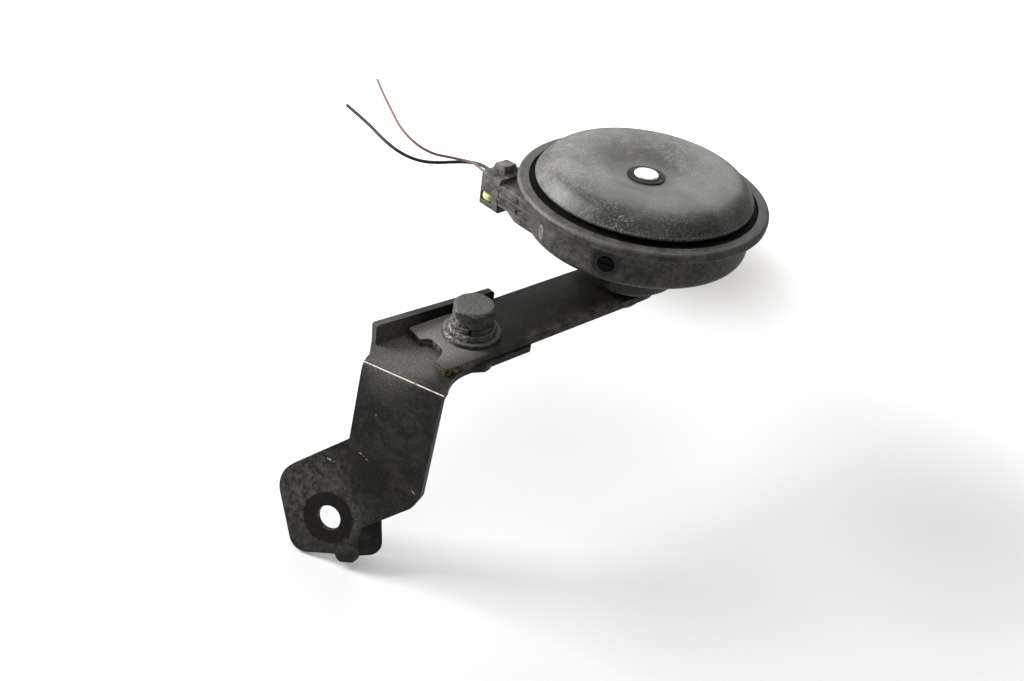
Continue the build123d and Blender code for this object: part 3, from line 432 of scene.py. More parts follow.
canLook = Named(
    dustiness=0.55, cloudSize=16.0, grime=0.6,
    layers=[
        {"share": 0.6, "tone": (0.085, 0.077, 0.062), "cloud": ((0.11, 6, 0.72, 1.2), 0.5, 0.64)},
        {"share": 0.42, "tone": (0.15, 0.141, 0.124), "spot": ((-38, -14, -8), 6, 32),
         "cloud": ((0.3, 5, 0.7), 0.34, 0.62)},
        {"share": 0.75, "tone": (0.005, 0.0047, 0.0042), "cloud": ((0.11, 6, 0.72, 1.2), 0.47, 0.36)},
        # painted shade: the can darker towards its bottom
        {"share": 0.45, "tone": (0.008, 0.0073, 0.006), "sides": [(up, -13.5, -19.0)]},
        {"share": 0.65, "tone": (0.1, 0.097, 0.062), "spot": ((-10, -39, -9), 6, 26),
         "cloud": ((0.9, 5, 0.7), 0.42, 0.66)},
        {"share": 0.4, "tone": (0.17, 0.16, 0.145), "spot": ((-38, -14, -11), 1, 10),
         "cloud": ((0.7, 5, 0.75), 0.5, 0.66)},
    ],
    smearPlace=(-35.4, -20.0, -9.8), smearNoise=(0.35, 5, 0.7), smearWander=(5.0, -2.5),
    smearReach=(6.6, 4.2), smearTint=(0.9, (0.004, 0.0038, 0.0035)), chipNoise=(0.4, 4, 0.7),
    chipWander=1.6, chip=((-40.0, 7.2, -9.4), (-40.0, 6.9, -12.6), 1.5),
    chipCore=((-40.0, 7.2, -9.8), (-40.0, 6.9, -12.2), 0.9), chipCoreShare=0.6,
    chipTint=(0.7, (0.3, 0.28, 0.25)), rubbedReach=(0.8, 0.1), rubbedGrain=(0.6, 0.4),
    rubbedSpot=((-40, 20, 0), 10, 50), rubbedLine=(0.6, 0.25), rubbedTone=(0.24, 0.23, 0.205),
    grit=(((0.07,), 0.5, 0.62), 0.7, 0.15), rough=(0.25, 0.46), relief=((1.6, 5, 0.6), 0.5, 0.24),
    specular=0.3,
)


def rubbedAndHighlitEdge(finish, grain, edge):  # goes by the square of the distance from a turned edge
    out = finish.here.radius() - edge[0]
    high = finish.here.part("Z") - edge[1]
    rubbed = (out * out + high * high).ramp(*canLook.rubbedReach) * grain.line(*canLook.rubbedGrain)
    # painted highlight: the worn pale edge is made strongest on the left, where the light falls
    return rubbed * finish.spot(*canLook.rubbedSpot).line(*canLook.rubbedLine)


def canPaint(name, edge=None):
    finish = Finish(name)
    look = canLook
    color, dusty, grain = paintedBase(finish, look)
    wander = finish.noise(*look.smearNoise).line(*look.smearWander)
    smear = (finish.here.distance(look.smearPlace) + wander).ramp(*look.smearReach)
    color = finish.tint(color, smear, *look.smearTint)
    wavy = finish.here + (finish.noise(*look.chipNoise) - 0.5) * look.chipWander
    core = 1 - finish.streak(wavy, *look.chipCore) * look.chipCoreShare
    color = finish.tint(color, finish.streak(wavy, *look.chip) * core, *look.chipTint)
    if edge:
        color = finish.mix(rubbedAndHighlitEdge(finish, grain, edge), color, look.rubbedTone)
    return gritSurface(finish, color, dusty.line(*look.rough), grain, look)


# pale dust with painted light, on the plate beside the arm's end
plateDustAndLight = {
    "share": 0.85,
    "tone": (0.19, 0.184, 0.167),
    "spot": ((-96, 4, -41), 7, 19),
    "grain": (0.6, 0.4),
}
bracketLook = Named(
    dustiness=0.15, cloudSize=14.0, grime=0.4,
    layers=[
        {"share": 0.5, "tone": (0.042, 0.039, 0.032), "cloud": ((0.1, 6, 0.72, 1.8), 0.5, 0.66)},
        {"share": 0.7, "tone": (0.0045, 0.0042, 0.0036), "cloud": ((0.1, 6, 0.72, 1.8), 0.48, 0.38)},
        plateDustAndLight,
        {"share": 0.62, "tone": (0.115, 0.111, 0.098), "spot": ((-128, 10, -94), 5, 30),
         "cloud": ((0.5, 6, 0.75), 0.36, 0.64)},
        # painted shade low on the strip, by the lower bend
        {"share": 0.55, "tone": (0.0055, 0.005, 0.0042), "spot": ((-112, -3, -82), 4, 12)},
    ],
    hole=(-123.2, 3.2, -100.8), holeNoise=(0.25, 3), holeWander=(1.2, -0.6), ringReach=(10.2, 8.6),
    ringTint=(0.92, (0.005, 0.004, 0.0032)), bandInner=(9.6, 10.6), bandOuter=(13.5, 10.8),
    bandSpot=((-115.5, -8, -97), 4, 15), bandTint=(0.8, (0.16, 0.15, 0.125)),
    bendPoint=(-102.8, -5.35, -40.75), bendSide=(0.6892, 0.3075, 0.6561),
    bendOut=(-0.5991, -0.2674, 0.7547), bendDepth=(-2.6, -1.9), lineReach=(0.26, 0.1),
    lineCloud=((0.5, 4), 0.2, 0.55), lineTone=(0.8, 0.75, 0.6),
    scratches=[
        ((-108.0, 0.3, -58.4), (-104.2, -9.6, -62.2), 0.24),
        ((-113.3, 7.8, -72.6), (-109.6, -3.7, -78.4), 0.27),
        ((-119.4, 11.2, -81.0), (-117.4, 7.9, -81.3), 0.4),
        ((-103.8, -16.6, -80.9), (-102.8, -19.0, -82.4), 0.42),
    ],
    scratchNoise=(0.15, 3), scratchWander=4, scratchCloud=((1.3, 3), 0.42, 0.58),
    scratchTint=(0.8, (0.5, 0.48, 0.42)), grit=(((0.09,), 0.52, 0.64), 0.6, 0.13), rough=(0.4, 0.42),
    plateRough=0.15, relief=((1.5, 5, 0.6), 0.6, 0.2), specular=0.14,
)


def bracketMarks(finish, color, grain):  # oily ring round the hole, painted highlights on the dish's edge and along the bend, scratches
    look = bracketLook
    place = finish.here
    fromHole = place.distance(look.hole) + finish.noise(*look.holeNoise).line(*look.holeWander)
    color = finish.tint(color, fromHole.ramp(*look.ringReach), *look.ringTint)
    # painted highlight on the dish's edge round the hole, on one side
    dishEdgeHighlight = fromHole.ramp(*look.bandInner) * fromHole.ramp(*look.bandOuter)
    dishEdgeHighlight = dishEdgeHighlight * finish.spot(*look.bandSpot) * grain
    color = finish.tint(color, dishEdgeHighlight, *look.bandTint)
    # painted highlight along the bend's rounding
    fromBend = place - look.bendPoint
    line = abs(fromBend.dot(look.bendSide)).ramp(*look.lineReach)
    line = line * fromBend.dot(look.bendOut).ramp(*look.bendDepth)
    color = finish.mix(line * finish.cloud(*look.lineCloud), color, look.lineTone)
    wavy = place + (finish.noise(*look.scratchNoise) - 0.5) * look.scratchWander
    for start, end, width in look.scratches:
        mark = finish.streak(wavy, start, end, width) * finish.cloud(*look.scratchCloud)
        color = finish.tint(color, mark, *look.scratchTint)
    return color


def bracketPaint():
    finish = Finish("bracketPaint")
    look = bracketLook
    color, dusty, grain = paintedBase(finish, look)
    color = bracketMarks(finish, color, grain)
    rough = dusty.line(*look.rough) + finish.mask(plateDustAndLight, grain) * look.plateRough
    return gritSurface(finish, color, rough, grain, look)


armLook = Named(
    dustiness=0.13, cloudSize=15.0, grime=0.6,
    layers=[
        {"share": 0.6, "tone": (0.0045, 0.0042, 0.0036), "cloud": ((0.09, 6, 0.72, 1.6), 0.5, 0.38)},
        # painted shadow: the horn's shadow on the arm beside the can
        {"share": 0.55, "tone": (0.005, 0.0047, 0.004), "spot": ((-49, 2, -37), 5, 24)},
        {"share": 0.95, "tone": (0.27, 0.26, 0.235), "spot": ((-82, 5, -38), 9, 22), "grain": (0.5, 0.5)},
        {"share": 0.6, "tone": (0.08, 0.07, 0.045), "sides": [((0, 1, 0), -7.5, -12.2), (along, -64, -52)],
         "cloud": ((0.25, 5), 0.36, 0.6)},
    ],
    rustZone={"sides": [(along, -82.5, -84.5), (up, -37.7, -38.3)]}, rustCloud=((0.7, 6, 0.7), 0.4, 0.66),
    rustDark=(0.016, 0.0105, 0.007), rustPale=(0.17, 0.12, 0.068), rustShare=0.95, rustRough=0.25,
    grit=(((0.09,), 0.52, 0.64), 0.5, 0.13), rough=(0.4, 0.5), relief=((1.5, 5, 0.6), 0.6, 0.24),
    specular=0.16,
)


def armPaint():
    finish = Finish("armPaint")
    look = armLook
    color, dusty, grain = paintedBase(finish, look)
    rusty = finish.mask(look.rustZone)
    rust = finish.mix(finish.cloud(*look.rustCloud), look.rustDark, look.rustPale)
    color = finish.mix(rusty * look.rustShare, color, rust)
    rough = dusty.line(*look.rough) + rusty * look.rustRough
    return gritSurface(finish, color, rough, grain, look)


# Zinc plating under dirt: a crust in patches, thinner on upward faces as painted light, pale dots
zincLook = Named(
    top=(0.35, 0.9), topShare=0.62, grain=(1.4, 6, 0.7), grainSpan=(0.3, 0.7), grainShade=0.7,
    crust=((0.42, 6, 0.68, 0.6), 0.36, 0.6), crustDirt=(0.35, 0.65), dark=(0.021, 0.0195, 0.0145),
    specks={"share": 0.8, "tone": (0.55, 0.53, 0.46), "cloud": ((0.9, 5, 0.78, 1.2), 0.52, 0.58)},
    speckReach=(3, 9), dotScale=1.3, dotSize=(0.2, 0.08), dotCloud=((0.3,), 0.5, 0.6),
    dotTint=(0.4, (0.35, 0.33, 0.29)), rough=(0.2, 0.45), metallic=0.25, relief=(1.0, 6, 0.7),
    reliefCrust=0.6, reliefStrength=0.7, reliefDepth=0.0004,
)


def grimyZinc(name, tone, dirt, dark=zincLook.dark, specks=None):
    finish = Finish(name)
    look = zincLook
    # painted light: faces turned up keep less of the dark crust and read lighter
    top = finish.normal().part("Z").ramp(*look.top)
    grain = finish.noise(*look.grain)
    crust = finish.cloud(*look.crust)
    color = finish.mix(grain.ramp(*look.grainSpan), shaded(tone, look.grainShade), tone)
    color = finish.mix(crust.line(*look.crustDirt) * (1 - top * look.topShare) * dirt, color, dark)
    if specks:
        color = finish.lay(color, [{**look.specks, "spot": (specks, *look.speckReach)}])
    dots = finish.grains(finish.here, look.dotScale).ramp(*look.dotSize)
    dots = dots * finish.cloud(*look.dotCloud)
    color = finish.tint(color, dots, *look.dotTint)
    height = finish.noise(*look.relief) + crust * look.reliefCrust
    relief = finish.bump(height, look.reliefStrength, look.reliefDepth)
    return finish.surface(color, crust.line(*look.rough), look.metallic, relief)


metalLook = Named(
    grain=(1.2, 5, 0.6), grainSpan=(0.3, 0.7), grainShade=0.8, dirt=((0.3, 4), 0.5, 0.7), dirtShade=0.3,
    grainRough=0.15, reliefStrength=0.12, specular=0.5,
)


def cleanMetal(name, tone, rough=0.34, metallic=0.9, dirt=0.2):
    finish = Finish(name)
    look = metalLook
    grain = finish.noise(*look.grain)
    color = finish.mix(grain.ramp(*look.grainSpan), shaded(tone, look.grainShade), tone)
    color = finish.mix(finish.cloud(*look.dirt) * dirt, color, shaded(tone, look.dirtShade))
    relief = finish.bump(grain, look.reliefStrength)
    return finish.surface(color, grain * look.grainRough + rough, metallic, relief, look.specular)


mouldedLook = Named(
    cloud=((0.16, 5, 0.62), 0.36, 0.66), cloudShare=0.55, grain=((1.5, 5, 0.72), 0.36, 0.7),
    grainShare=0.45, stain=((0.35, 5, 0.6), 0.54, 0.68), stainShade=0.35, ribReach=(0.55, 0.15),
    ribDust=0.4, grainRough=0.2, reliefGrain=0.3, reliefStrength=0.5,
)


def moulded(name, tone, dust, dustiness=0.6, rough=0.5, mottle=0.4, specular=0.35, ribs=()):
    finish = Finish(name)
    look = mouldedLook
    grain = finish.cloud(*look.grain)
    dusty = finish.cloud(*look.cloud) * look.cloudShare + grain * look.grainShare
    color = finish.mix(dusty * dustiness, tone, dust)
    stain = finish.cloud(*look.stain) * mottle
    color = finish.mix(stain, color, shaded(tone, look.stainShade))
    height = grain * look.reliefGrain
    for level in ribs:  # raised lines along the moulding
        rib = abs(finish.here.part("Z") - level).ramp(*look.ribReach)
        color = finish.mix(rib * look.ribDust, color, dust)
        height = height + rib
    relief = finish.bump(height, look.reliefStrength)
    return finish.surface(color, grain * look.grainRough + rough, normal=relief, specular=specular)


def darkGrime(name):
    tone, dust = (0.004, 0.0038, 0.0035), (0.014, 0.013, 0.0115)
    return moulded(name, tone, dust, dustiness=0.4, rough=0.8, specular=0.1)


finishes = {
    "black_steel": canPaint("canPaint"),
    "zinc_steel": grimyZinc("grimyZinc", (0.26, 0.255, 0.235), dirt=0.6),
    "bare_steel": cleanMetal("bareSteel", (0.42, 0.41, 0.4)),
    "spring_steel": cleanMetal("springSteel", (0.46, 0.46, 0.46), rough=0.28, metallic=0.95, dirt=0.1),
    "gasket_fibre": moulded("gasketSheet", (0.05, 0.045, 0.04), (0.1, 0.095, 0.08), 0.4, rough=0.75),
    "insulator_fibre": moulded("brownFibre", (0.19, 0.095, 0.045), (0.28, 0.17, 0.1), 0.5, rough=0.6),
    "bobbin_plastic": moulded("darkNylon", (0.03, 0.03, 0.03), (0.07, 0.07, 0.07), 0.3),
    "copper_wire": cleanMetal("copperWinding", (0.55, 0.22, 0.09), rough=0.3),
    "contact_metal": cleanMetal("contactMetal", (0.5, 0.5, 0.5), rough=0.25, metallic=0.95, dirt=0.05),
    "brass_parts": cleanMetal("plainBrass", (0.5, 0.37, 0.16), rough=0.35, dirt=0.4),
    "connector_plastic": moulded("spareNylon", (0.03, 0.03, 0.029), (0.15, 0.147, 0.139), 0.8, mottle=0.5),
    "yellow_plastic": moulded("yellowNylon", (0.62, 0.6, 0.24), (0.7, 0.69, 0.42), 0.5, 0.45, mottle=0.1),
    "seal_rubber": moulded("sealRubber", (0.06, 0.035, 0.03), (0.12, 0.09, 0.08), 0.4, rough=0.7),
    "black_insulation": insulation("spareBlack", (0.014, 0.014, 0.014)),
    "brown_insulation": insulation("spareBrown", (0.2, 0.122, 0.108)),
}
for part in frame["record"]["subparts"]:
    mesh = nodes[part["node"]].data
    mesh.materials.clear()
    mesh.materials.append(finishes[part["material_slot"]])
for name in ("adjusting_screw", "screw_bush"):
    nodes[name].data.materials.clear()
    nodes[name].data.materials.append(darkGrime(name + "Grime"))
print("finishes set")


# Surfaces from numpy grids
mergeDistance = 1e-7  # metres


def makePiece(name, body, finish, replaced, mesh):
    piece = bpy.data.objects.new(name, mesh)
    scene.collection.objects.link(piece)
    mesh.materials.clear()
    mesh.materials.append(finish)
    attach(piece, body)
    if replaced:
        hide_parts(*replaced)
    return piece


def smoothMesh(mesh, sharpAngle):
    bm = bmesh.new()
    bm.from_mesh(mesh)
    bmesh.ops.remove_doubles(bm, verts=bm.verts, dist=mergeDistance)
    bmesh.ops.recalc_face_normals(bm, faces=bm.faces)
    bm.to_mesh(mesh)
    bm.free()
    mesh.shade_smooth()
    mesh.set_sharp_from_angle(angle=np.radians(sharpAngle))
    return mesh


def gridMesh(name, grid, closedRows=True, closedColumns=True, sharpAngle=35):
    # each quad joins grid[row, column] to its neighbours; a closed way returns to its first row or column
    rows, columns = grid.shape[:2]
    row = np.arange(rows if closedRows else rows - 1)[:, None]
    column = np.arange(columns if closedColumns else columns - 1)[None, :]
    nextRow, nextColumn = (row + 1) % rows, (column + 1) % columns
    corners = ((row, column), (nextRow, column), (nextRow, nextColumn), (row, nextColumn))
    quads = np.stack([r * columns + c for r, c in corners], -1).reshape(-1, 4)
    mesh = bpy.data.meshes.new(name)
    mesh.from_pydata(grid.reshape(-1, 3), [], quads)
    return smoothMesh(mesh, sharpAngle)


def turned(profile, centre, segments, shape=None):
    # x = cx + r cos(a), y = cy + r sin(a), z = h for each profile point (r, h) and each angle a
    angle = np.linspace(0, 2 * np.pi, segments, endpoint=False)[:, None]
    radius = np.repeat(profile[None, :, 0], segments, 0)
    height = np.repeat(profile[None, :, 1], segments, 0)
    if shape:
        radius, height = shape(angle, radius, height)
    x = centre[0] + radius * np.cos(angle)
    y = centre[1] + radius * np.sin(angle)
    return hornPoint(np.stack([x, y, height], -1))


def turnedPiece(name, body, slot, finish, replaced, profile, segments, place=(0, 0), shape=None, **closing):
    grid = turned(profile, place, segments, shape)
    makePiece(name, body, finish, replaced, gridMesh(name, grid, **closing))


def softCorners(points, cuts, steps=6):
    # each corner of the loop becomes a parabola between the points one cut before and one cut after it
    points, cuts = np.array(points, float), np.array(cuts, float)[:, None]
    before = np.roll(points, 1, 0) - points
    after = np.roll(points, -1, 0) - points
    before = before / np.linalg.norm(before, axis=1, keepdims=True)
    after = after / np.linalg.norm(after, axis=1, keepdims=True)
    start, end = points + before * cuts, points + after * cuts
    share = np.linspace(0, 1, steps)[None, :, None]
    rest = 1 - share
    soft = rest ** 2 * start[:, None] + 2 * share * rest * points[:, None] + share ** 2 * end[:, None]
    return soft.reshape(-1, 2)


def smoothThrough(points, count):
    # natural cubic spline through the points, measured along its chords
    points = np.array(points, float)
    knots = np.concatenate([[0], np.cumsum(np.linalg.norm(np.diff(points, axis=0), axis=1))])
    step = np.diff(knots)
    slope = np.diff(points, axis=0) / step[:, None]
    system = np.diag(np.concatenate([[1], 2 * (step[:-1] + step[1:]), [1]]))
    system[np.arange(1, len(step)), np.arange(0, len(step) - 1)] = step[:-1]
    system[np.arange(1, len(step)), np.arange(2, len(step) + 1)] = step[1:]
    right = np.vstack([np.zeros(2), 6 * np.diff(slope, axis=0), np.zeros(2)])
    bend = np.linalg.solve(system, right)
    at = np.linspace(0, knots[-1], count)
    k = np.clip(np.searchsorted(knots, at) - 1, 0, len(step) - 1)
    h, t = step[k][:, None], (at - knots[k])[:, None]
    start, b0, b1 = points[k], bend[k], bend[k + 1]
    return start + (slope[k] - h * (2 * b0 + b1) / 6) * t + b0 / 2 * t ** 2 + (b1 - b0) / (6 * h) * t ** 3


# Tone disc: dished dome of sheet with a beaded edge
disc = Named(
    crown=[(38.5, 2.4), (34.5, 6.9), (27.99, 8.1), (20.5, 7.45), (13.5, 5.7), (10.2, 4.85), (7.4, 4.6)],
    crownRows=70, sheet=1.2, bead=0.42, beadRows=10, bore=3.02, unevenness=0.06,
    waves=[(3, 0.4, 0.6), (7, 1.1, 0.4)],  # waves in a turn, phase, share
    segments=256,
)


def makeToneDisc():
    # the crown's spline and the same line one sheet lower, joined by a half ellipse at the edge
    top = smoothThrough(disc.crown, disc.crownRows)
    under = top - (0, disc.sheet)
    turn = np.linspace(0, np.pi, disc.beadRows + 2)[1:-1]
    middle = (top[0] + under[0]) / 2
    edge = middle + np.column_stack([disc.bead * np.sin(turn), -disc.sheet / 2 * np.cos(turn)])
    bore = np.array([(disc.bore, top[-1, 1]), (disc.bore, under[-1, 1])])
    profile = np.vstack([top, bore, under[::-1], edge])

    def uneven(angle, radius, height):  # slow waves of the pressing, growing with the square of the radius
        wave = sum(share * np.sin(count * angle + phase) for count, phase, share in disc.waves)
        return radius, height - disc.unevenness * (1 + wave) / 2 * (radius / disc.crown[0][0]) ** 2

    metal = discPaint()
    name, replaced = "toneDiscDome", ["tone_disc"]
    turnedPiece(name, "vibrator", "black_steel", metal, replaced, profile, disc.segments, shape=uneven)


# Diaphragm: its waved sheet stays with the can, its clamped middle moves with the disc
diaphragm = Named(
    top=-0.8, sheet=0.4, bore=3.25, split=9.0, splitGap=0.12, outer=43.5, rows=160, waves=3,
    waveStart=15.0, waveEnd=34.0, waveDepth=0.5, segments=(192, 96),
)


def makeDiaphragm():
    # sheet lowered by depth sin^2(pi n (r - start) / (end - start)) between the two radii
    grime = darkGrime("grooveGrime")
    start, end = diaphragm.waveStart, diaphragm.waveEnd
    radius = np.linspace(diaphragm.split, diaphragm.outer, diaphragm.rows)
    share = np.clip((radius - start) / (end - start), 0, 1)
    dip = diaphragm.waveDepth * np.sin(np.pi * diaphragm.waves * share) ** 2
    top = np.column_stack([radius, diaphragm.top - dip])
    profile = np.vstack([top, top[::-1] - (0, diaphragm.sheet)])
    segments, middleSegments = diaphragm.segments
    turnedPiece("diaphragmSheet", "horn", "black_steel", grime, ["diaphragm"], profile, segments)
    high, low = diaphragm.top, diaphragm.top - diaphragm.sheet
    inner, outer = diaphragm.bore, diaphragm.split - diaphragm.splitGap
    profile = np.array([(inner, high), (outer, high), (outer, low), (inner, low)])
    turnedPiece("diaphragmMiddle", "vibrator", "black_steel", grime, [], profile, middleSegments)


# Rim: folded sheet with a rounded shoulder and a fine step below it
rim = Named(
    loop=[
        (40.8, 0.0), (44.8, 0.0), (45.0, -1.7), (44.8, -1.95), (44.95, -2.25), (44.85, -3.4), (41.8, -3.4),
        (41.8, -2.6), (44.2, -2.6), (44.2, -0.8), (40.8, -0.8),
    ],
    cuts=[0.25, 1.2, 0.18, 0.12, 0.15, 0.5, 0.2, 0.2, 0.3, 0.3, 0.2], segments=256,
    rubbed=(44.5, -0.5),  # radius and height of the edge that is rubbed pale and given a painted highlight
)


def makeRim():
    # the loop's section with its corners rounded, carried once round the axis
    profile = softCorners(rim.loop, rim.cuts)
    metal = canPaint("rimPaint", rim.rubbed)
    turnedPiece("rimFold", "horn", "black_steel", metal, ["rim_ring"], profile, rim.segments)


# Centre of the disc: bright rivet button with a centre mark, in a dark ring
button = Named(
    profile=[
        (0.0, 5.62), (0.22, 5.66), (0.42, 5.77), (3.5, 5.8), (4.1, 5.74), (4.4, 5.45), (4.36, 5.1),
        (3.0, 5.1), (3.0, -4.4), (0.0, -4.4),
    ],
    segments=96, grain=(1.6, 5, 0.6), grainSpan=(0.3, 0.7), tones=((0.74, 0.73, 0.7), (0.86, 0.85, 0.82)),
    edge=(3.9, 4.4), edgeCloud=((0.8, 4), 0.4, 0.6), edgeTint=(0.6, (0.2, 0.19, 0.17)), rough=(0.1, 0.48),
    metallic=0.15, reliefStrength=0.08, specular=0.5,
    ring=[(3.03, 4.6), (6.8, 4.6), (6.8, 5.1), (3.03, 5.1)], ringCuts=[0.05, 0.12, 0.22, 0.05],
    ringWaves=26, ringSegments=260, ringStart=4.4, ringRun=1.2, ringLevel=4.85, waveDepth=0.09,
    ringTone=(0.006, 0.0057, 0.005), ringDust=(0.13, 0.123, 0.105),
    ringLook={"rough": 0.7, "mottle": 0.8, "specular": 0.15}, sharpAngle=50,
)


def buttonMetal():
    finish = Finish("buttonMetal")
    grain = finish.noise(*button.grain)
    color = finish.mix(grain.ramp(*button.grainSpan), *button.tones)
    edge = finish.here.radius().ramp(*button.edge) * finish.cloud(*button.edgeCloud)
    color = finish.tint(color, edge, *button.edgeTint)
    relief = finish.bump(grain, button.reliefStrength)
    return finish.surface(color, grain.line(*button.rough), button.metallic, relief, button.specular)


def makeButton():
    profile = np.array(button.profile, float)
    turnedPiece(
        "rivetButton", "vibrator", "zinc_steel", buttonMetal(), ["centre_rivet"], profile, button.segments,
        closedColumns=False, sharpAngle=button.sharpAngle,
    )

    def rippled(angle, radius, height):  # the ring's crown sinks by depth (1 + sin(n a)) / 2 at its edge
        outer = np.clip((radius - button.ringStart) / button.ringRun, 0, 1)
        wave = (1 + np.sin(button.ringWaves * angle)) / 2
        return radius, height - button.waveDepth * outer * wave * (height > button.ringLevel)

    ring = softCorners(button.ring, button.ringCuts)
    grime = moulded("ringGrime", button.ringTone, button.ringDust, **button.ringLook)
    turnedPiece(
        "buttonRing", "vibrator", "black_steel", grime, ["rivet_washer"], ring, button.ringSegments,
        shape=rippled, sharpAngle=button.sharpAngle,
    )


# Clamp bolt with its washers
bolt = Named(
    place=(-71.6, 0.0), headHalf=6.85, headBottom=-32.15, headTop=-26.05,
    headSeat=0.97,  # share of the head where it meets the shank
    headRises=[0.2, 1.5, 3.0],
    headCrown=[(0.88, 0.0), (0.6, -0.04), (0.3, -0.1), (0.0, -0.12)],  # share of the head, rise
    chamferDepth=2.0, chamferRows=24, chamferRadius=6.35, chamferSlope=1.0, tip=-50.75,
    tipProfile=[(0.0, 0.0), (2.9, 0.0), (3.35, 0.25)], plainTip=0.5, shankStart=0.6, shankRadius=3.98,
    threadTop=-44.0, threadPitch=1.25, threadDepth=0.5, threadRow=0.14, segments=144, cornerPower=9,
    dent=0.2,
    dentWaves=[(5, 2.0), (3, 0.8)],  # waves in a turn, and their lean along the height
    flatWasher=[(4.4, -37.75), (10.2, -37.75), (10.15, -36.15), (4.4, -36.15)],
    flatCuts=[0.15, 0.2, 0.6, 0.2],
    collarWasher=[(4.4, -36.15), (8.7, -36.15), (8.45, -35.2), (7.9, -34.25), (4.4, -34.25)],
    collarCuts=[0.15, 0.3, 0.35, 0.5, 0.2], washerSegments=168, wornFrom=6.0, wornRun=2.0,
    wornDepths=(0.1, 0.07), wornWaves=(11, 23), wornPhase=1.7, springInner=4.4, springOuter=7.3,
    springBottom=-34.25, springHeight=2.1, springRise=0.35, springCut=0.3, springGap=9.0,
    springSlit=225.0, springRows=120, tone=(0.13, 0.13, 0.122), dirt=0.97, dirtTone=(0.034, 0.032, 0.022),
    speckPlace=(-77.5, 1.5, -34.0), sharpAngle=60,
)


def hexRadius(angle, half, power):
    # half the flats over the power mean of three cosines 60 degrees apart: a hexagon with soft corners
    directions = np.radians([30, 90, 150])[:, None, None]
    return half / (np.abs(np.cos(angle[None] - directions)) ** power).sum(0) ** (1 / power)


def threaded(angle, radius, height, top):
    # the radius falls and rises once in each pitch of height, shifted by the angle: a helical ridge
    phase = (height / bolt.threadPitch - angle / (2 * np.pi)) % 1
    return radius - bolt.threadDepth * np.abs(2 * phase - 1) * (height < top)


def profileRows(points, sixSided):  # (radius, height) rows with the mark that says how they are turned
    points = np.array(points, float)
    return np.column_stack([points, np.full(len(points), float(sixSided))])


def shankRows(radius, start, end):
    height = np.arange(start, end, bolt.threadRow)
    return np.column_stack([np.full(len(height), radius), height])


def makeBolt():
    # a turned profile whose marked rows follow the hexagon under a chamfer's cone
    low, high, half = bolt.headBottom, bolt.headTop, bolt.headHalf
    rises = np.array(bolt.headRises) + low
    side = np.concatenate([rises, np.linspace(high - bolt.chamferDepth, high, bolt.chamferRows)])
    rows = np.vstack([
        profileRows(np.array(bolt.tipProfile) + (0, bolt.tip), False),
        profileRows(shankRows(bolt.shankRadius, bolt.tip + bolt.shankStart, low), False),
        profileRows([(bolt.shankRadius, low)], False),
        profileRows([(half * bolt.headSeat, low)], True),
        profileRows(np.column_stack([np.full(len(side), half), side]), True),
        profileRows(np.array(bolt.headCrown) * (half, 1) + (0, high), False),
    ])
    sixSided = rows[None, :, 2]

    def shaped(angle, radius, height):
        flat = hexRadius(angle, half, bolt.cornerPower) / half
        cone = bolt.chamferRadius + bolt.chamferSlope * (high - height)
        first, second = (np.sin(count * angle + lean * height) for count, lean in bolt.dentWaves)
        six = np.minimum(radius * flat, cone) - bolt.dent * (first * second) ** 2
        plain = threaded(angle, radius, height, bolt.threadTop)
        plain = np.where((height > bolt.tip + bolt.plainTip) & (height < low), plain, radius)
        return plain * (1 - sixSided) + six * sixSided, height

    metal = grimyZinc("boltZinc", bolt.tone, bolt.dirt, bolt.dirtTone, bolt.speckPlace)
    turnedPiece(
        "boltHead", "horn", "zinc_steel", metal, ["clamp_bolt"], rows[:, :2], bolt.segments,
        place=bolt.place, shape=shaped, closedColumns=False, sharpAngle=bolt.sharpAngle,
    )
    makeWashers(metal)
    makeSpringWasher(metal)


def makeWashers(metal):
    def worn(angle, radius, height):  # two waves round the edge, never outside the stamped outline
        first, second = bolt.wornDepths
        slow, fast = bolt.wornWaves
        bite = first * np.sin(slow * angle + height) + second * np.sin(fast * angle + bolt.wornPhase)
        outer = np.clip((radius - bolt.wornFrom) / bolt.wornRun, 0, 1)
        return radius + (bite - first - second) * outer, height

    for kind in ("flat", "collar"):
        profile = softCorners(bolt[kind + "Washer"], bolt[kind + "Cuts"])
        turnedPiece(
            kind + "WasherPlate", "horn", "zinc_steel", metal, [kind + "_washer"], profile,
            bolt.washerSegments, place=bolt.place, shape=worn,
        )


def makeSpringWasher(metal):
    # a soft square section carried along one turn of a helix, its two ends drawn in to close them
    slit, gap = np.radians(bolt.springSlit), np.radians(bolt.springGap) / 2
    angle = np.linspace(slit + gap, slit + 2 * np.pi - gap, bolt.springRows)[:, None]
    low, inner, outer = bolt.springBottom, bolt.springInner, bolt.springOuter
    high = low + bolt.springHeight - bolt.springRise
    section = softCorners([(inner, low), (outer, low), (outer, high), (inner, high)], [bolt.springCut] * 4)
    rise = bolt.springRise * (angle - angle[0]) / (angle[-1] - angle[0])
    x = bolt.place[0] + section[None, :, 0] * np.cos(angle)
    y = bolt.place[1] + section[None, :, 0] * np.sin(angle)
    coil = np.stack([x, y, section[None, :, 1] + rise], -1)
    middle = np.repeat(coil.mean(1, keepdims=True), coil.shape[1], 1)
    grid = hornPoint(np.vstack([middle[:1], coil, middle[-1:]]))
    mesh = gridMesh("splitWasher", grid, closedRows=False, sharpAngle=40)
    makePiece("splitWasher", "horn", metal, ["spring_washer"], mesh)


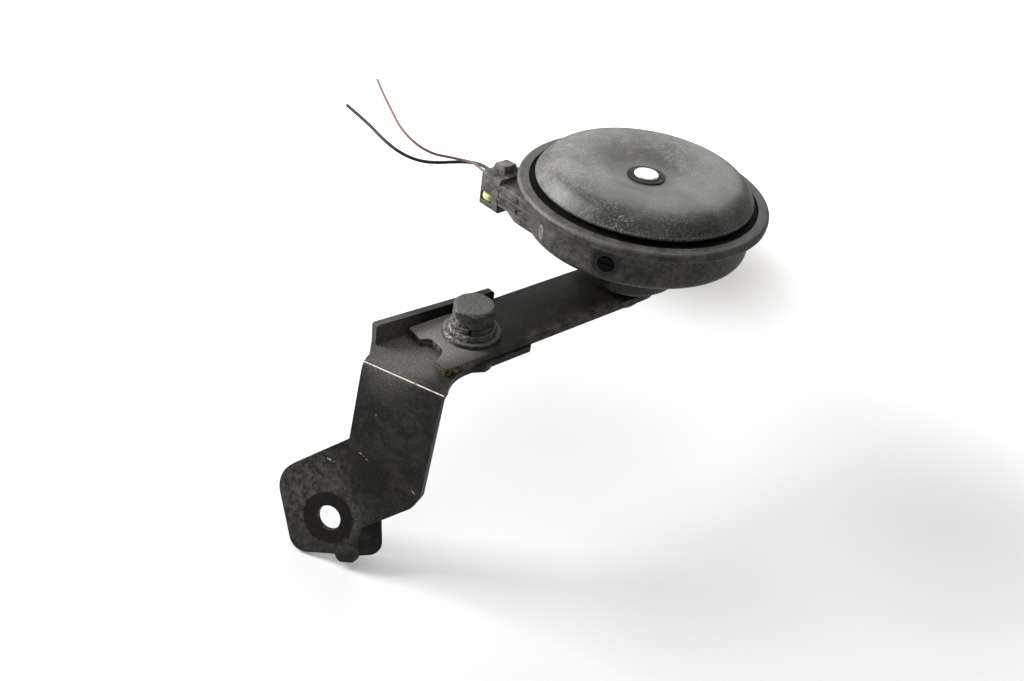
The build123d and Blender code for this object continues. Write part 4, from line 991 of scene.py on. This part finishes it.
# Nuts and the stud below the arm
nuts = {
    "studNut": {"place": (0.0, 0.0), "half": 6.5, "low": -47.75, "high": -42.35, "node": "stud_nut"},
    "weldNut": {"place": (-71.6, 0.0), "half": 7.0, "low": -49.75, "high": -43.25, "node": "weld_nut"},
}
nutShape = Named(
    bore=4.0, lead=0.45, cornerPower=24, chamferShare=0.94, chamferSlope=1.7, chamferDepth=1.6,
    chamferRows=12, topDepth=0.5, topRows=3, segments=120, sharpAngle=40, tone=(0.24, 0.235, 0.22),
    dirt=0.6,
)
stud = Named(
    coreRadius=8.0, coreTop=-23.6, floor=-33.5, radius=3.98, tip=-49.0,
    tipProfile=[(0.0, 0.0), (3.1, 0.0), (3.5, 0.3)], plainTip=0.4, shankStart=0.5, threadTop=-36.0,
    segments=96, sharpAngle=60,
)


def makeNuts():
    metal = grimyZinc("nutZinc", nutShape.tone, nutShape.dirt)
    for name, nut in nuts.items():
        makeNut(name + "Body", nut, metal)
    makeStud(metal)


def makeNut(name, nut, metal):
    # hexagon from the bore's lead to its other lead, its lower corners cut by a cone
    half, low, high, bore = nut["half"], nut["low"], nut["high"], nutShape.bore
    lead = nutShape.lead
    chamfer = np.linspace(low, low + nutShape.chamferDepth, nutShape.chamferRows)
    side = np.concatenate([chamfer, np.linspace(high - nutShape.topDepth, high, nutShape.topRows)])
    rows = np.vstack([
        profileRows([(bore, low + lead), (bore + lead, low)], False),
        profileRows(np.column_stack([np.full(len(side), half), side]), True),
        profileRows([(bore + lead, high), (bore, high - lead)], False),
    ])
    sixSided = rows[None, :, 2]

    def shaped(angle, radius, height):
        flat = hexRadius(angle, half, nutShape.cornerPower) / half
        cone = half * nutShape.chamferShare + nutShape.chamferSlope * (height - low)
        return radius * (1 - sixSided) + np.minimum(radius * flat, cone) * sixSided, height

    turnedPiece(
        name, "horn", "zinc_steel", metal, [nut["node"]], rows[:, :2], nutShape.segments,
        place=nut["place"], shape=shaped, sharpAngle=nutShape.sharpAngle,
    )


def makeStud(metal):
    # the stud's threaded pin and the wider pole core above it, in one turned profile
    pin = shankRows(stud.radius, stud.tip + stud.shankStart, stud.floor)
    core = [
        (stud.radius, stud.floor), (stud.coreRadius, stud.floor),
        (stud.coreRadius, stud.coreTop), (0, stud.coreTop),
    ]
    profile = np.vstack([np.array(stud.tipProfile) + (0, stud.tip), pin, core])

    def thread(angle, radius, height):
        cut = threaded(angle, radius, height, stud.threadTop)
        return np.where(height > stud.tip + stud.plainTip, cut, radius), height

    turnedPiece(
        "coreStudPin", "horn", "zinc_steel", metal, ["core_stud"], profile, stud.segments,
        shape=thread, closedColumns=False, sharpAngle=stud.sharpAngle,
    )


# Sheet metal and mouldings: copies of the part's own shapes with their cut edges broken
sheets = Named(
    seamPoint=(-99.228, -3.756, -42.0), seamNormal=(0.9132, 0.4075, 0.0), seamReach=0.02,
    mergeReach=0.005, thinReach=0.002, flatAngle=0.6, sheetEdge=0.35, bevelSteps=3, sharpAngle=40.0,
)


def removeSeam(bm):  # the faces where two of the part's solids meet are taken out
    point, normal = hornPoint(sheets.seamPoint), np.array(sheets.seamNormal)
    normal = normal / np.linalg.norm(normal)
    reach = sheets.seamReach * millimetre
    inside = [
        face for face in bm.faces
        if all(abs(np.dot(np.array(vertex.co) - point, normal)) < reach for vertex in face.verts)
    ]
    bmesh.ops.delete(bm, geom=inside, context="FACES")


def softEdged(name, sources, edge, finish, seam=False):
    bm = bmesh.new()
    for source in sources:
        bm.from_mesh(nodes[source].data)
    if seam:
        removeSeam(bm)
    bmesh.ops.remove_doubles(bm, verts=bm.verts, dist=sheets.mergeReach * millimetre)
    bmesh.ops.dissolve_degenerate(bm, edges=bm.edges, dist=sheets.thinReach * millimetre)
    bmesh.ops.dissolve_limit(bm, angle_limit=np.radians(sheets.flatAngle), verts=bm.verts, edges=bm.edges)
    mesh = bpy.data.meshes.new(name)
    bm.to_mesh(mesh)
    bm.free()
    mesh.shade_smooth()
    mesh.set_sharp_from_angle(angle=np.radians(sheets.sharpAngle))
    piece = makePiece(name, "horn", finish, sources, mesh)
    bevel = piece.modifiers.new("brokenEdges", "BEVEL")
    bevel.width = edge * millimetre
    bevel.segments = sheets.bevelSteps
    bevel.limit_method = "ANGLE"
    bevel.angle_limit = np.radians(sheets.sharpAngle)
    return piece


def makeSheets():
    edge = sheets.sheetEdge
    halves = ["bracket_plate", "lower_bracket"]
    softEdged("bracketSheet", halves, edge, bracketPaint(), seam=True)
    softEdged("armBar", ["horn_arm"], edge, armPaint())


# Connector: the latch drawn in towards its top, the yellow lock as a low cushion
connector = Named(
    edge=0.45, tone=(0.022, 0.0215, 0.02), dust=(0.2, 0.192, 0.178),
    look={"dustiness": 0.95, "rough": 0.55, "mottle": 0.75, "specular": 0.25}, ribs=(-9.2, -13.0),
    latchLevel=2.0, latchShare=0.84, latchDrop=0.5, lockPower=3.4, lockRise=4.0,
    lockRings=(16, 4),  # in front and behind
    lockSegments=96, lockSharpAngle=60,
)


def makeConnector():
    edge, look = connector.edge, connector.look
    plain = moulded("greyNylon", connector.tone, connector.dust, **look)
    plug = softEdged("plugShell", ["plug_housing"], edge, plain)
    slopeLatch(plug.data)
    ribbed = moulded("greyNylon", connector.tone, connector.dust, ribs=connector.ribs, **look)
    softEdged("socketShell", ["connector_socket"], edge, ribbed)
    makeLock()


def slopeLatch(mesh):
    # the latch's top corners move towards their own middle, the wires' side sinks a little
    flat = np.empty(len(mesh.vertices) * 3)
    mesh.vertices.foreach_get("co", flat)
    place = flat.reshape(-1, 3)
    top = place[:, 2] > place[:, 2].max() - connector.latchLevel * millimetre
    middle = (place[top].min(0) + place[top].max(0)) / 2
    share = (place[top, 1] - middle[1]) / np.ptp(place[top, 1]) + 0.5
    place[top, :2] = middle[:2] + (place[top, :2] - middle[:2]) * connector.latchShare
    place[top, 2] -= share * connector.latchDrop * millimetre
    mesh.vertices.foreach_set("co", place.ravel())
    mesh.update()


def makeLock():
    # rounded outline |y/b|^p + |z/c|^p = 1 filled by rings, thickness (1 - u^q) from rim to middle
    low, high = (np.array(corner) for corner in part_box("plug_lock"))
    middle, half = (low + high) / 2, (high - low) / 2
    angle = np.linspace(0, 2 * np.pi, connector.lockSegments, endpoint=False)[:, None]
    front, back = connector.lockRings
    ring = np.concatenate([np.linspace(0, 1, front), np.linspace(1, 0, back)])[None, :]
    isFront = np.arange(front + back)[None, :] < front
    power = connector.lockPower
    reach = (np.abs(np.cos(angle)) ** power + np.abs(np.sin(angle)) ** power) ** (-1 / power) * ring
    thickness = np.where(isFront, 1 - ring ** connector.lockRise, 0) + 0 * angle
    x = middle[0] + half[0] * (1 - 2 * thickness)
    y = middle[1] + half[1] * reach * np.cos(angle)
    z = middle[2] + half[2] * reach * np.sin(angle)
    grid = np.stack([x, y, z], -1)
    mesh = gridMesh("lockCushion", grid, closedColumns=False, sharpAngle=connector.lockSharpAngle)
    makePiece("lockCushion", "horn", finishes["yellow_plastic"], ["plug_lock"], mesh)


makeToneDisc()
makeDiaphragm()
makeRim()
makeButton()
makeBolt()
makeNuts()
makeSheets()
makeConnector()
print("pieces made")


# Floor, backdrop and light
stage = Named(
    floorTone=(0.6, 0.6, 0.6),
    floorHalf=3.0,  # metres
    lift=(0.2, 0.9), liftReach=(150, 420), middle=(-40, 0, -145), shade=((148, 76, -145), 12, 88),
    shadeTone=(0.31, 0.3, 0.288), worldStrength=0.26, aim=(-40, 0, -30),
    lamps={
        "keyLamp": {"place": (-560, 650, 430), "power": 14.0, "size": 0.4},
        "fillLamp": {"place": (-420, -520, 620), "power": 0.5, "size": 0.7},
        "topLamp": {"place": (120, -60, 800), "power": 2.5, "size": 0.6},
        "backLamp": {"place": (520, 520, 420), "power": 3.8, "size": 0.7},
    },
)


def makeFloor():  # the camera sees the floor lit up with distance, with a soft shade under the horn
    finish = Finish("paleFloor")
    seen = finish.node("ShaderNodeLightPath")
    near, far = stage.lift
    outward = finish.here.distance(stage.middle).ramp(*stage.liftReach)
    shade = finish.spot(*stage.shade)
    lift = seen * (outward * (far - near) + near) * (1 - shade)
    glow = finish.node("ShaderNodeEmission", {}, {"Strength": lift})
    tone = finish.mix(shade * seen, stage.floorTone, stage.shadeTone)
    matte = finish.node("ShaderNodeBsdfDiffuse", {}, {"Color": tone})
    both = finish.node("ShaderNodeAddShader", {}, (matte, glow))
    half, level = stage.floorHalf, cadBox[0].z
    mesh = bpy.data.meshes.new("floor")
    corners = [(-half, -half, level), (half, -half, level), (half, half, level), (-half, half, level)]
    mesh.from_pydata(corners, [], [(0, 1, 2, 3)])
    mesh.materials.append(finish.show(both.socket))
    floor = bpy.data.objects.new("floor", mesh)
    scene.collection.objects.link(floor)


def makeWorld():  # dim light all round, white only where the camera looks past the floor
    world = bpy.data.worlds.new("studio")
    world.use_nodes = True
    tree = world.node_tree
    tree.nodes.clear()
    light = tree.nodes.new("ShaderNodeBackground")
    white = tree.nodes.new("ShaderNodeBackground")
    for background in (light, white):
        background.inputs["Color"].default_value = (1, 1, 1, 1)
    light.inputs["Strength"].default_value = stage.worldStrength
    path = tree.nodes.new("ShaderNodeLightPath")
    mix = tree.nodes.new("ShaderNodeMixShader")
    output = tree.nodes.new("ShaderNodeOutputWorld")
    tree.links.new(path.outputs["Is Camera Ray"], mix.inputs[0])
    tree.links.new(light.outputs[0], mix.inputs[1])
    tree.links.new(white.outputs[0], mix.inputs[2])
    tree.links.new(mix.outputs[0], output.inputs[0])
    scene.world = world


def makeLamp(name, setup):
    data = bpy.data.lights.new(name, "AREA")
    data.energy = setup["power"]
    data.size = setup["size"]
    lamp = bpy.data.objects.new(name, data)
    lamp.location = hornPoint(setup["place"])
    aim = Vector(hornPoint(stage.aim)) - lamp.location
    lamp.rotation_mode = "QUATERNION"
    lamp.rotation_quaternion = aim.to_track_quat("-Z", "Y")
    scene.collection.objects.link(lamp)


makeFloor()
makeWorld()
for lampName, setup in stage.lamps.items():
    makeLamp(lampName, setup)
scene.view_settings.view_transform = "Standard"
print("stage set")
